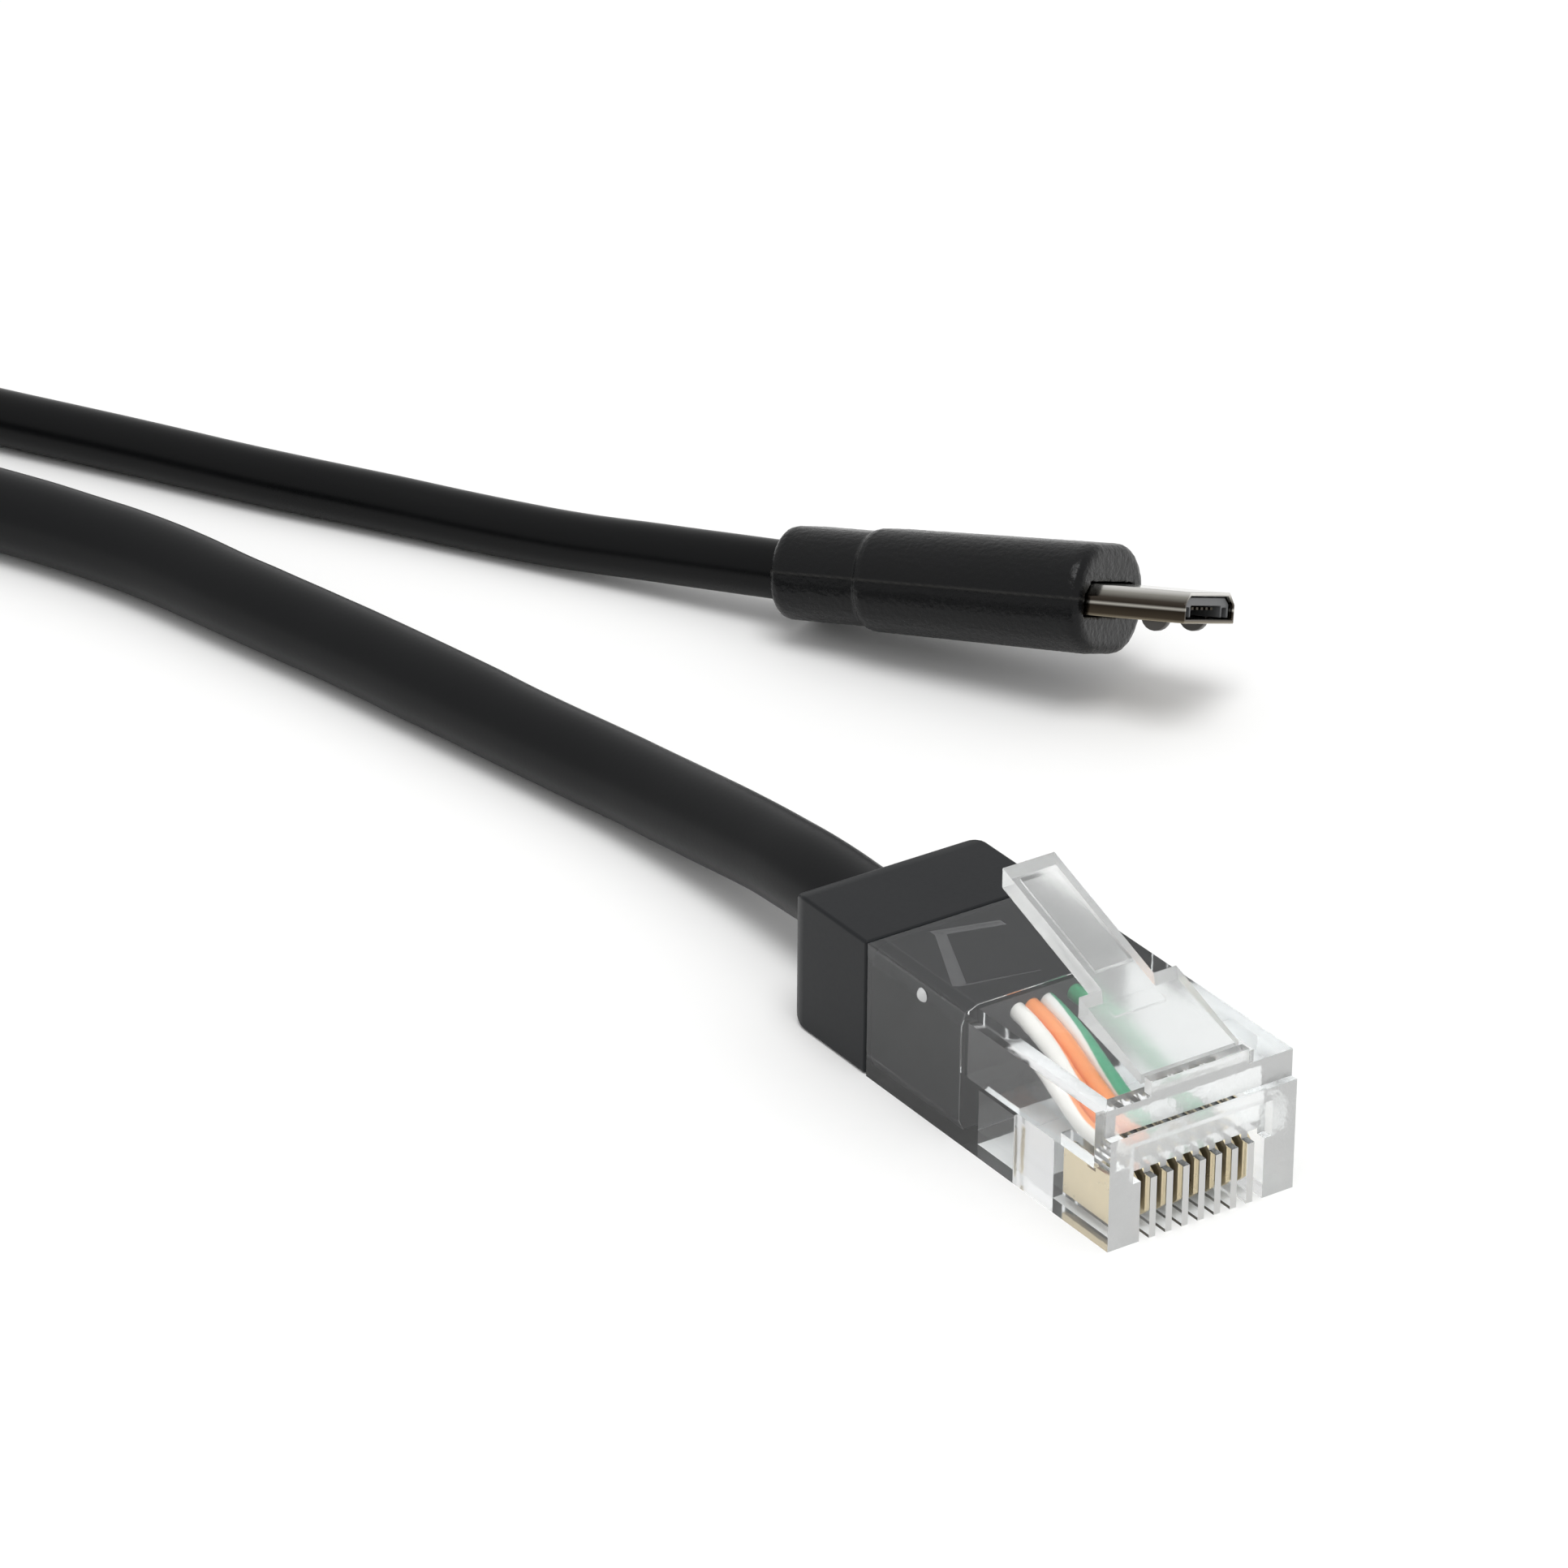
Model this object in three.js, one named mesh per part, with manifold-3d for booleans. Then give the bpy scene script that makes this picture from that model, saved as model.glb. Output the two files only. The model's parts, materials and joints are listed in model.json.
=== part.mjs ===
// Power over ethernet splitter: a small housing with a network socket in one end and two short
// leads in the other, one with a network plug and one with a micro power plug.
// Millimetres, +Z up. The origin is the middle of the housing's underside, +X points to the leads.
import * as THREE from 'three';
import { mergeVertices } from 'three/addons/utils/BufferGeometryUtils.js';
import Module from 'manifold-3d';

const wasm = await Module();
wasm.setup();

// Housing
const HOUSING_LENGTH = 82;
const HOUSING_WIDTH = 30;
const HOUSING_HEIGHT = 22;
const HOUSING_WALL = 2;
const HOUSING_CORNER = 4;
const HOUSING_EDGE = 1;
const SEAM_HEIGHT = 11;
const SEAM_GAP = 0.3;
const FIT = 0.3;
const PART_FIT = 0.1;

// Network socket in the -X end of the housing
const SOCKET_WIDTH = 15.4;
const SOCKET_HEIGHT = 13.4;
const SOCKET_DEPTH = 16;
const SOCKET_BACK_WALL = 1.6;
const SOCKET_BASE = 3.6;
const CAVITY_WIDTH = 11.9;
const CAVITY_HEIGHT = 7.0;
const CAVITY_ROOF = 1.4;
const SHOULDER_WIDTH = 6.4;
const SHOULDER_DEPTH = 1.7;
const LEVER_CHANNEL_WIDTH = 4.0;
const LEVER_CHANNEL_DEPTH = 1.5;
const SOCKET_SPRING_SIZE = 0.4;
const SOCKET_SPRING_ROOT = 2.4;
const SOCKET_SPRING_BEND = 4.2;
const SOCKET_SPRING_REACH = 7.2;
const SOCKET_SPRING_DROP = 2.6;
const CONTACT_COUNT = 8;
const CONTACT_PITCH = 1.02;

// Circuit board inside the housing
const BOARD_LENGTH = 50;
const BOARD_WIDTH = 24;
const BOARD_THICKNESS = 1.6;
const BOARD_POST_HEIGHT = 1.6;
const BOARD_POST_RADIUS = 1.6;
const BOARD_POST_INSET = 3;
const COIL_SIZE = [14, 12, 10];
const CAPACITOR_RADIUS = 4;
const CAPACITOR_LENGTH = 11;

// Leads
const LEAD_SPACING = 12;
const NETWORK_CORD_DIAMETER = 4.9;
const POWER_CORD_DIAMETER = 3.5;
const RELIEF_LENGTH = 16;
const RELIEF_FLANGE = 1.5;
const RELIEF_WALL_ROOT = 2.0;
const RELIEF_WALL_TIP = 0.9;
const RELIEF_GROOVES = 4;
const RELIEF_GROOVE_WIDTH = 1.2;
const RELIEF_GROOVE_DEPTH = 0.5;

// Network plug, measured from the seam between its boot and its clear body
const NETWORK_PLUG_PLACE = [194.0, -34.6, 0.02];
const NETWORK_PLUG_YAW = -28.8;
const PLUG_LENGTH = 21.46;
const PLUG_WIDTH = 11.68;
const PLUG_HEIGHT = 7.9;
const LIP_HEIGHT = 6.35;
const LIP_LENGTH = 0.45;
const PLUG_WALL = 0.7;
const BOOT_LENGTH = 7.7;
const BOOT_ROUND = 2.0;
const BOOT_GAP = 0.15;
const CORE_LENGTH = 8.0;
const CORE_FLOOR = 0.6;
const CORE_TOP = 7.1;
const CORE_CHAMFER = 0.6;
const CRIMP_START = 9.1;
const CRIMP_END = 12.2;
const CRIMP_WIDTH = 8.0;
const CRIMP_HEIGHT = 3.2;
const WIRE_ROOM_END = 19.4;
const WIRE_ROOM_WIDTH = 9.2;
const WIRE_ROOM_FLOOR = 3.7;
const WIRE_ROOM_TOP = 6.9;
const SLOT_WIDTH = 0.62;
const SLOT_START = 15.6;
const BLADE_THICKNESS = 0.32;
const BLADE_START = 16.2;
const BLADE_END = 20.6;
const BLADE_FLOOR = 0.6;
const BLADE_TOP = 3.4;
const FRONT_RECESS_WIDTH = 8.7;
const FRONT_RECESS_DEPTH = 0.6;
const FRONT_RECESS_FLOOR = 3.5;
const FRONT_RECESS_TOP = 5.6;
const WIRE_DIAMETER = 0.95;
const WIRE_START_HEIGHT = 5.7;
const WIRE_END_HEIGHT = 4.6;
const WIRE_END = 18.8;
const WIRE_START_PITCH = 1.1;
const WIRES = [
  { pin: 1, name: 'network_wire_1_white_orange', colour: 0xe9ddd2 },
  { pin: 2, name: 'network_wire_2_orange', colour: 0xd8703a },
  { pin: 3, name: 'network_wire_3_white_green', colour: 0xdfe8e0 },
  { pin: 6, name: 'network_wire_6_green', colour: 0x2f7d60 },
];

// Latch of the network plug: hinged at the nose, rising backwards
const LATCH_ROOT = 20.1;
const LATCH_ROOT_FLOOR = 8.2;
const LATCH_ROOT_THICKNESS = 0.55;
const LATCH_GAP = 0.3;
const LATCH_WIDTH = 6.1;
const SHOULDER_AT = 14.75;
const SHOULDER_TOP = 10.65;
const SHOULDER_FLOOR = 9.5;
const LEVER_WIDTH = 3.25;
const LEVER_TIP = 6.05;
const LEVER_TIP_TOP = 13.72;
const LEVER_THICKNESS = 1.07;
const LEVER_PANEL_RIM = 0.45;
const LEVER_PANEL_DEPTH = 0.25;
const LEVER_PANEL_LENGTH = 6.6;
const LATCH_MOUNT_LENGTH = 0.6;
const LATCH_MOUNT_TOP = 8.75;

// Micro power plug, measured from the middle of its shell's open end
const POWER_PLUG_PLACE = [190.0, 6.3, 6.98];
const POWER_PLUG_YAW = 0;
const POWER_PLUG_PITCH = 8;
const POWER_PLUG_ROLL = -23.2;
const SHELL_WIDTH = 6.85;
const SHELL_HEIGHT = 1.8;
const SHELL_TOP_WIDTH = 5.4;
const SHELL_SHOULDER = 0.2;
const SHELL_WALL = 0.25;
const SHELL_REACH = 6.2;
const SHELL_SEAT = 4;
const MOULD_WIDTH = 9.1;
const MOULD_THICKNESS = 6.4;
const MOULD_BACK_WIDTH = 8.7;
const MOULD_BACK_THICKNESS = 6.0;
const MOULD_LENGTH = 14.8;
const COLLAR_WIDTH = 8.1;
const COLLAR_THICKNESS = 5.5;
const COLLAR_LENGTH = 5.5;
const MOULD_ROUND = 0.7;
const INSULATOR_SETBACK = 0.25;
const TONGUE_SLOT_WIDTH = 4.1;
const TONGUE_SLOT_TOP = 0.1;
const TONGUE_SLOT_DEPTH = 5.2;
const TONGUE_CONTACTS = 5;
const TONGUE_PITCH = 0.65;
const TONGUE_CONTACT_SIZE = 0.3;
const TONGUE_CONTACT_LENGTH = 4.6;
const HOOK_OFFSET = 2.55;
const HOOK_WIDTH = 0.55;
const HOOK_THICKNESS = 0.18;
const HOOK_ROOT = 5.9;
const HOOK_TIP = 1.5;
const HOOK_BACK = 2.75;
const HOOK_DROP = 0.35;
const HOOK_TRAVEL = 0.4;
const HOOK_CLEAR = 0.07;

// Routes of the two cords, chosen by hand along their middle lines
const NETWORK_ROUTE = [
  [59.0, -6.0, 10.9], [64.0, -6.0, 10.3], [70.0, -6.0, 8.6], [77.0, -6.0, 6.0], [84.0, -6.1, 3.9],
  [92.0, -6.3, 2.7], [101.0, -6.5, 2.5], [110.0, -6.8, 2.5], [119.0, -7.2, 2.5], [128.0, -8.4, 2.5],
  [136.0, -10.6, 2.5], [144.0, -12.9, 2.5], [152.0, -15.4, 2.5], [160.0, -18.1, 2.5],
  [167.0, -20.6, 2.7], [173.0, -23.2, 3.1], [178.4, -25.9, 3.7], [183.0, -28.5, 4.1],
];
const POWER_ROUTE = [
  [59.0, 6.0, 10.9], [64.0, 6.0, 10.3], [70.0, 6.0, 8.4], [77.0, 5.9, 5.4], [84.0, 5.8, 3.0],
  [92.0, 5.6, 1.9], [101.0, 5.5, 1.8], [110.0, 5.5, 1.8], [119.0, 5.6, 1.8], [128.0, 5.6, 1.8],
  [136.0, 5.9, 1.8], [143.0, 6.1, 1.8], [149.0, 6.2, 2.0], [154.0, 6.3, 2.4], [158.5, 6.3, 2.8],
];
const NETWORK_CORD_STEPS = 34;
const POWER_CORD_STEPS = 30;
const CORD_END_GAP = 0.3;

const radians = (degrees) => degrees * Math.PI / 180;

// Materials
const plastic = (colour, roughness) => new THREE.MeshStandardMaterial({ color: colour, roughness, metalness: 0 });
const metal = (colour, roughness) => new THREE.MeshStandardMaterial({ color: colour, roughness, metalness: 1 });
const housingPlastic = plastic(0x1b1c1e, 0.5);
const socketPlastic = plastic(0x0d0e0f, 0.45);
const boardGreen = plastic(0x1d4a32, 0.6);
const cordJacket = plastic(0x16181a, 0.42);
const bootRubber = plastic(0x1f2022, 0.6);
const mouldRubber = plastic(0x141517, 0.7);
const insulatorGrey = plastic(0x3a3c40, 0.5);
const clearPlastic = new THREE.MeshStandardMaterial({
  color: 0xe8ecee, roughness: 0.08, metalness: 0, transparent: true, opacity: 0.35,
});
const gold = metal(0xb08a3e, 0.3);
const nickel = metal(0xc9c7c0, 0.22);
const springSteel = metal(0x8c8a86, 0.35);

// Closed solids from geometry and back
function solidOf(geometry) {
  const bare = geometry.clone();
  bare.deleteAttribute('normal');
  bare.deleteAttribute('uv');
  const merged = mergeVertices(bare, 1e-5);
  return new wasm.Manifold(new wasm.Mesh({
    numProp: 3,
    vertProperties: new Float32Array(merged.attributes.position.array),
    triVerts: new Uint32Array(merged.index.array),
  }));
}

function geometryOf(solid) {
  const mesh = solid.getMesh();
  const geometry = new THREE.BufferGeometry();
  geometry.setAttribute('position', new THREE.BufferAttribute(mesh.vertProperties, 3));
  geometry.setIndex(new THREE.BufferAttribute(mesh.triVerts, 1));
  return geometry;
}

function box(low, high) {
  const size = high.map((value, axis) => value - low[axis]);
  const geometry = new THREE.BoxGeometry(...size);
  geometry.translate(...low.map((value, axis) => value + size[axis] / 2));
  return geometry;
}

function cutFrom(solid, ...tools) {
  return tools.reduce((rest, tool) => rest.subtract(solidOf(tool)), solid);
}

function joined(...geometries) {
  return geometries.map(solidOf).reduce((all, next) => all.add(next));
}

// A shape drawn in the Y-Z plane and run along X from one place to another
function alongX(shape, from, to, curveSegments = 8) {
  const geometry = new THREE.ExtrudeGeometry(shape, { depth: to - from, bevelEnabled: false, curveSegments });
  geometry.rotateX(Math.PI / 2);
  geometry.rotateZ(Math.PI / 2);
  geometry.translate(from, 0, 0);
  return geometry;
}

// A shape drawn in the X-Z plane, given a width across Y
function acrossY(points, width, middle = 0) {
  const shape = new THREE.Shape(points.map(([x, z]) => new THREE.Vector2(x, z)));
  const geometry = new THREE.ExtrudeGeometry(shape, { depth: width, bevelEnabled: false });
  geometry.rotateX(Math.PI / 2);
  geometry.translate(0, middle + width / 2, 0);
  return geometry;
}

function roundedRectangle(width, height, radius) {
  const shape = new THREE.Shape();
  const x = width / 2;
  const y = height / 2;
  shape.moveTo(-x + radius, -y);
  shape.lineTo(x - radius, -y);
  shape.absarc(x - radius, -y + radius, radius, -Math.PI / 2, 0, false);
  shape.lineTo(x, y - radius);
  shape.absarc(x - radius, y - radius, radius, 0, Math.PI / 2, false);
  shape.lineTo(-x + radius, y);
  shape.absarc(-x + radius, y - radius, radius, Math.PI / 2, Math.PI, false);
  shape.lineTo(-x, -y + radius);
  shape.absarc(-x + radius, -y + radius, radius, Math.PI, Math.PI * 1.5, false);
  return shape;
}

// Ring or cone about the X axis from a profile of [x, radius]
function turnedAboutX(profile, sides) {
  const geometry = new THREE.LatheGeometry(profile.map(([x, radius]) => new THREE.Vector2(radius, x)), sides);
  geometry.rotateZ(-Math.PI / 2);
  return geometry;
}

const parts = new THREE.Group();

function add(name, geometry, material, holder = parts) {
  const mesh = new THREE.Mesh(geometry, material);
  mesh.name = name;
  holder.add(mesh);
  return mesh;
}

// Housing: two shells that meet at the seam
const housingEnd = HOUSING_LENGTH / 2;
const exits = [
  { name: 'network', y: -LEAD_SPACING / 2, cord: NETWORK_CORD_DIAMETER },
  { name: 'power', y: LEAD_SPACING / 2, cord: POWER_CORD_DIAMETER },
];
const reliefRoot = (exit) => exit.cord / 2 + RELIEF_WALL_ROOT;
const socketFloor = SOCKET_BASE;
const boardFloor = HOUSING_WALL + BOARD_POST_HEIGHT + FIT;
const boardMiddle = -housingEnd + SOCKET_DEPTH + FIT * 2 + BOARD_LENGTH / 2 + 1;

function shellBlock(length, width, height, corner, edge) {
  const shape = roundedRectangle(length - 2 * edge, width - 2 * edge, corner - edge);
  const geometry = new THREE.ExtrudeGeometry(shape, {
    depth: height - 2 * edge, bevelEnabled: true, bevelThickness: edge, bevelSize: edge,
    bevelSegments: 2, curveSegments: 4,
  });
  geometry.translate(0, 0, edge);
  return geometry;
}

function housingSolid() {
  const outer = shellBlock(HOUSING_LENGTH, HOUSING_WIDTH, HOUSING_HEIGHT, HOUSING_CORNER, HOUSING_EDGE);
  const room = shellBlock(HOUSING_LENGTH - 2 * HOUSING_WALL, HOUSING_WIDTH - 2 * HOUSING_WALL,
    HOUSING_HEIGHT - 2 * HOUSING_WALL, HOUSING_CORNER - HOUSING_WALL, HOUSING_EDGE / 2);
  room.translate(0, 0, HOUSING_WALL);
  const socketWindow = box(
    [-housingEnd - FIT, -SOCKET_WIDTH / 2 - FIT, socketFloor - FIT],
    [-housingEnd + HOUSING_WALL + FIT, SOCKET_WIDTH / 2 + FIT, socketFloor + SOCKET_HEIGHT + FIT],
  );
  const holes = exits.map((exit) => {
    const hole = new THREE.CylinderGeometry(reliefRoot(exit) + FIT, reliefRoot(exit) + FIT, HOUSING_WALL + 2, 24);
    hole.rotateZ(Math.PI / 2);
    hole.translate(housingEnd - HOUSING_WALL / 2, exit.y, SEAM_HEIGHT);
    return hole;
  });
  return cutFrom(solidOf(outer), room, socketWindow, ...holes);
}

function postGeometries() {
  const posts = [];
  for (const side of [-1, 1]) {
    for (const end of [-1, 1]) {
      const post = new THREE.CylinderGeometry(BOARD_POST_RADIUS, BOARD_POST_RADIUS, BOARD_POST_HEIGHT + 0.5, 12);
      post.rotateX(Math.PI / 2);
      post.translate(boardMiddle + end * (BOARD_LENGTH / 2 - BOARD_POST_INSET),
        side * (BOARD_WIDTH / 2 - BOARD_POST_INSET), HOUSING_WALL + (BOARD_POST_HEIGHT - 0.5) / 2);
      posts.push(post);
    }
  }
  return posts;
}

function socketShelf() {
  return box([-housingEnd + HOUSING_WALL - 0.5, -SOCKET_WIDTH / 2, HOUSING_WALL - 0.5],
    [-housingEnd + SOCKET_DEPTH, SOCKET_WIDTH / 2, socketFloor - FIT]);
}

function addHousing() {
  const whole = housingSolid();
  const reach = HOUSING_LENGTH;
  const below = box([-reach, -reach, -reach], [reach, reach, SEAM_HEIGHT - SEAM_GAP / 2]);
  const above = box([-reach, -reach, SEAM_HEIGHT + SEAM_GAP / 2], [reach, reach, reach]);
  let lower = whole.intersect(solidOf(below));
  for (const piece of [...postGeometries(), socketShelf()]) {
    lower = lower.add(solidOf(piece));
  }
  add('housing_lower_shell', geometryOf(lower), housingPlastic);
  add('housing_upper_shell', geometryOf(whole.intersect(solidOf(above))), housingPlastic);
}

// Network socket: a block with a stepped cavity, the latch channel at the bottom
const cavityRoof = socketFloor + SOCKET_HEIGHT - CAVITY_ROOF;
const cavityFloor = cavityRoof - CAVITY_HEIGHT;
const socketFace = -housingEnd;

function contactPlace(index) {
  return (index - (CONTACT_COUNT - 1) / 2) * CONTACT_PITCH;
}

function springProfile(grow) {
  const half = SOCKET_SPRING_SIZE / 2 + grow;
  const roof = cavityRoof + SOCKET_SPRING_SIZE / 2;
  const route = [
    [socketFace + SOCKET_SPRING_ROOT, roof],
    [socketFace + SOCKET_SPRING_BEND, roof],
    [socketFace + SOCKET_SPRING_BEND + SOCKET_SPRING_REACH, roof - SOCKET_SPRING_DROP],
  ];
  const upper = route.map(([x, z]) => [x, z + half]);
  const lower = route.map(([x, z]) => [x, z - half]).reverse();
  return [...lower, ...upper];
}

function addSocket() {
  const cavityEnd = socketFace + SOCKET_DEPTH - SOCKET_BACK_WALL;
  const block = box([socketFace, -SOCKET_WIDTH / 2, socketFloor],
    [socketFace + SOCKET_DEPTH, SOCKET_WIDTH / 2, socketFloor + SOCKET_HEIGHT]);
  const cavity = box([socketFace - 1, -CAVITY_WIDTH / 2, cavityFloor], [cavityEnd, CAVITY_WIDTH / 2, cavityRoof]);
  const shoulder = box([socketFace - 1, -SHOULDER_WIDTH / 2, cavityFloor - SHOULDER_DEPTH],
    [cavityEnd, SHOULDER_WIDTH / 2, cavityFloor + 1]);
  const channel = box(
    [socketFace - 1, -LEVER_CHANNEL_WIDTH / 2, cavityFloor - SHOULDER_DEPTH - LEVER_CHANNEL_DEPTH],
    [cavityEnd, LEVER_CHANNEL_WIDTH / 2, cavityFloor],
  );
  const grooves = [];
  for (let index = 0; index < CONTACT_COUNT; index += 1) {
    grooves.push(box(
      [socketFace + SOCKET_SPRING_ROOT - PART_FIT, contactPlace(index) - SOCKET_SPRING_SIZE / 2 - PART_FIT, cavityRoof - 1],
      [cavityEnd, contactPlace(index) + SOCKET_SPRING_SIZE / 2 + PART_FIT, cavityRoof + SOCKET_SPRING_SIZE + PART_FIT],
    ));
  }
  const solid = cutFrom(solidOf(block), cavity, shoulder, channel, ...grooves);
  add('network_socket', geometryOf(solid), socketPlastic);
  for (let index = 0; index < CONTACT_COUNT; index += 1) {
    const spring = acrossY(springProfile(0), SOCKET_SPRING_SIZE, contactPlace(index));
    add(`network_socket_contact_${index + 1}`, spring, gold);
  }
}

// Circuit board with its coil and capacitor as plain shapes
function addBoard() {
  const board = box([boardMiddle - BOARD_LENGTH / 2, -BOARD_WIDTH / 2, boardFloor],
    [boardMiddle + BOARD_LENGTH / 2, BOARD_WIDTH / 2, boardFloor + BOARD_THICKNESS]);
  const top = boardFloor + BOARD_THICKNESS - PART_FIT;
  const coil = box([boardMiddle - COIL_SIZE[0], -COIL_SIZE[1] / 2, top],
    [boardMiddle, COIL_SIZE[1] / 2, top + COIL_SIZE[2]]);
  const capacitor = new THREE.CylinderGeometry(CAPACITOR_RADIUS, CAPACITOR_RADIUS, CAPACITOR_LENGTH, 16);
  capacitor.rotateX(Math.PI / 2);
  capacitor.translate(boardMiddle + CAPACITOR_RADIUS * 2.5, 0, top + CAPACITOR_LENGTH / 2);
  add('circuit_board', geometryOf(joined(board, coil, capacitor)), boardGreen);
}

// Strain reliefs: a flange behind the housing wall, a neck through it and a grooved taper outside
const reliefEnd = housingEnd + RELIEF_LENGTH;

function reliefProfile(exit) {
  const root = reliefRoot(exit);
  const tip = exit.cord / 2 + RELIEF_WALL_TIP;
  const radiusAt = (x) => root + (tip - root) * (x - housingEnd) / RELIEF_LENGTH;
  const flangeFace = housingEnd - HOUSING_WALL - FIT;
  const profile = [
    [flangeFace - RELIEF_FLANGE, 0],
    [flangeFace - RELIEF_FLANGE, root + RELIEF_FLANGE],
    [flangeFace, root + RELIEF_FLANGE],
    [flangeFace, root],
    [housingEnd, root],
  ];
  const spacing = RELIEF_LENGTH / (RELIEF_GROOVES + 1);
  for (let groove = 1; groove <= RELIEF_GROOVES; groove += 1) {
    const from = housingEnd + groove * spacing - RELIEF_GROOVE_WIDTH / 2;
    const to = from + RELIEF_GROOVE_WIDTH;
    profile.push([from, radiusAt(from)], [from, radiusAt(from) - RELIEF_GROOVE_DEPTH],
      [to, radiusAt(to) - RELIEF_GROOVE_DEPTH], [to, radiusAt(to)]);
  }
  profile.push([reliefEnd, tip], [reliefEnd, 0]);
  return profile;
}

function addReliefs() {
  for (const exit of exits) {
    const relief = turnedAboutX(reliefProfile(exit), 20);
    relief.translate(0, exit.y, SEAM_HEIGHT);
    add(`${exit.name}_strain_relief`, relief, bootRubber);
  }
}

// Network plug
const networkPlug = new THREE.Group();
networkPlug.position.set(...NETWORK_PLUG_PLACE);
networkPlug.rotation.z = radians(NETWORK_PLUG_YAW);
parts.add(networkPlug);

function bootBlock() {
  const half = PLUG_WIDTH / 2 - BOOT_ROUND;
  const shape = new THREE.Shape();
  const back = -BOOT_LENGTH;
  shape.moveTo(0, -PLUG_WIDTH / 2);
  shape.lineTo(0, PLUG_WIDTH / 2);
  shape.lineTo(back + BOOT_ROUND, PLUG_WIDTH / 2);
  shape.absarc(back + BOOT_ROUND, half, BOOT_ROUND, Math.PI / 2, Math.PI, false);
  shape.lineTo(back, -half);
  shape.absarc(back + BOOT_ROUND, -half, BOOT_ROUND, Math.PI, Math.PI * 1.5, false);
  const plan = new THREE.ExtrudeGeometry(shape, { depth: PLUG_HEIGHT, bevelEnabled: false, curveSegments: 5 });
  const side = new THREE.Shape();
  side.moveTo(0, 0);
  side.lineTo(0, PLUG_HEIGHT);
  side.lineTo(back + BOOT_ROUND, PLUG_HEIGHT);
  side.absarc(back + BOOT_ROUND, PLUG_HEIGHT - BOOT_ROUND, BOOT_ROUND, Math.PI / 2, Math.PI, false);
  side.lineTo(back, BOOT_ROUND);
  side.absarc(back + BOOT_ROUND, BOOT_ROUND, BOOT_ROUND, Math.PI, Math.PI * 1.5, false);
  const profile = new THREE.ExtrudeGeometry(side, { depth: PLUG_WIDTH + 2, bevelEnabled: false, curveSegments: 5 });
  profile.rotateX(Math.PI / 2);
  profile.translate(0, PLUG_WIDTH / 2 + 1, 0);
  return solidOf(plan).intersect(solidOf(profile));
}

function coreShape(clearance) {
  const side = PLUG_WIDTH / 2 - PLUG_WALL + clearance - BOOT_GAP;
  const low = CORE_FLOOR - clearance;
  const high = CORE_TOP + clearance;
  const chamfer = CORE_CHAMFER;
  return new THREE.Shape([
    [-side + chamfer, low], [side - chamfer, low], [side, low + chamfer], [side, high - chamfer],
    [side - chamfer, high], [-side + chamfer, high], [-side, high - chamfer], [-side, low + chamfer],
  ].map(([y, z]) => new THREE.Vector2(y, z)));
}

function addBoot() {
  const core = alongX(coreShape(0), -1, CORE_LENGTH);
  add('network_plug_boot', geometryOf(bootBlock().add(solidOf(core))), bootRubber, networkPlug);
}

function addClearBody() {
  const half = PLUG_WIDTH / 2;
  const block = acrossY([
    [BOOT_GAP, 0], [PLUG_LENGTH, 0], [PLUG_LENGTH, LIP_HEIGHT],
    [PLUG_LENGTH - LIP_LENGTH, LIP_HEIGHT], [PLUG_LENGTH - LIP_LENGTH, LATCH_MOUNT_TOP],
    [PLUG_LENGTH - LIP_LENGTH - LATCH_MOUNT_LENGTH, LATCH_MOUNT_TOP],
    [PLUG_LENGTH - LIP_LENGTH - LATCH_MOUNT_LENGTH, PLUG_HEIGHT], [BOOT_GAP, PLUG_HEIGHT],
  ], PLUG_WIDTH);
  const besideMount = [-1, 1].map((side) => box(
    [WIRE_ROOM_END - 1, side > 0 ? LATCH_WIDTH / 2 : -half - 1, PLUG_HEIGHT],
    [PLUG_LENGTH + 1, side > 0 ? half + 1 : -LATCH_WIDTH / 2, LATCH_MOUNT_TOP + 1],
  ));
  const coreRoom = alongX(coreShape(BOOT_GAP), -1, CORE_LENGTH + BOOT_GAP);
  const wireRoom = box([CORE_LENGTH - 1, -WIRE_ROOM_WIDTH / 2, WIRE_ROOM_FLOOR],
    [WIRE_ROOM_END, WIRE_ROOM_WIDTH / 2, WIRE_ROOM_TOP]);
  const crimpRecess = box([CRIMP_START, -CRIMP_WIDTH / 2, -1], [CRIMP_END, CRIMP_WIDTH / 2, CRIMP_HEIGHT]);
  const frontRecess = box([PLUG_LENGTH - FRONT_RECESS_DEPTH, -FRONT_RECESS_WIDTH / 2, FRONT_RECESS_FLOOR],
    [PLUG_LENGTH + 1, FRONT_RECESS_WIDTH / 2, FRONT_RECESS_TOP]);
  const slots = [];
  for (let index = 0; index < CONTACT_COUNT; index += 1) {
    slots.push(box([SLOT_START, contactPlace(index) - SLOT_WIDTH / 2, -1],
      [PLUG_LENGTH + 1, contactPlace(index) + SLOT_WIDTH / 2, WIRE_ROOM_FLOOR + PART_FIT]));
  }
  const solid = cutFrom(solidOf(block), ...besideMount, coreRoom, wireRoom, crimpRecess, frontRecess, ...slots);
  add('network_plug_body', geometryOf(solid), clearPlastic, networkPlug);
}

function addBlades() {
  for (let index = 0; index < CONTACT_COUNT; index += 1) {
    const blade = box([BLADE_START, contactPlace(index) - BLADE_THICKNESS / 2, BLADE_FLOOR],
      [BLADE_END, contactPlace(index) + BLADE_THICKNESS / 2, BLADE_TOP]);
    add(`network_plug_contact_${index + 1}`, blade, gold, networkPlug);
  }
}

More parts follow.
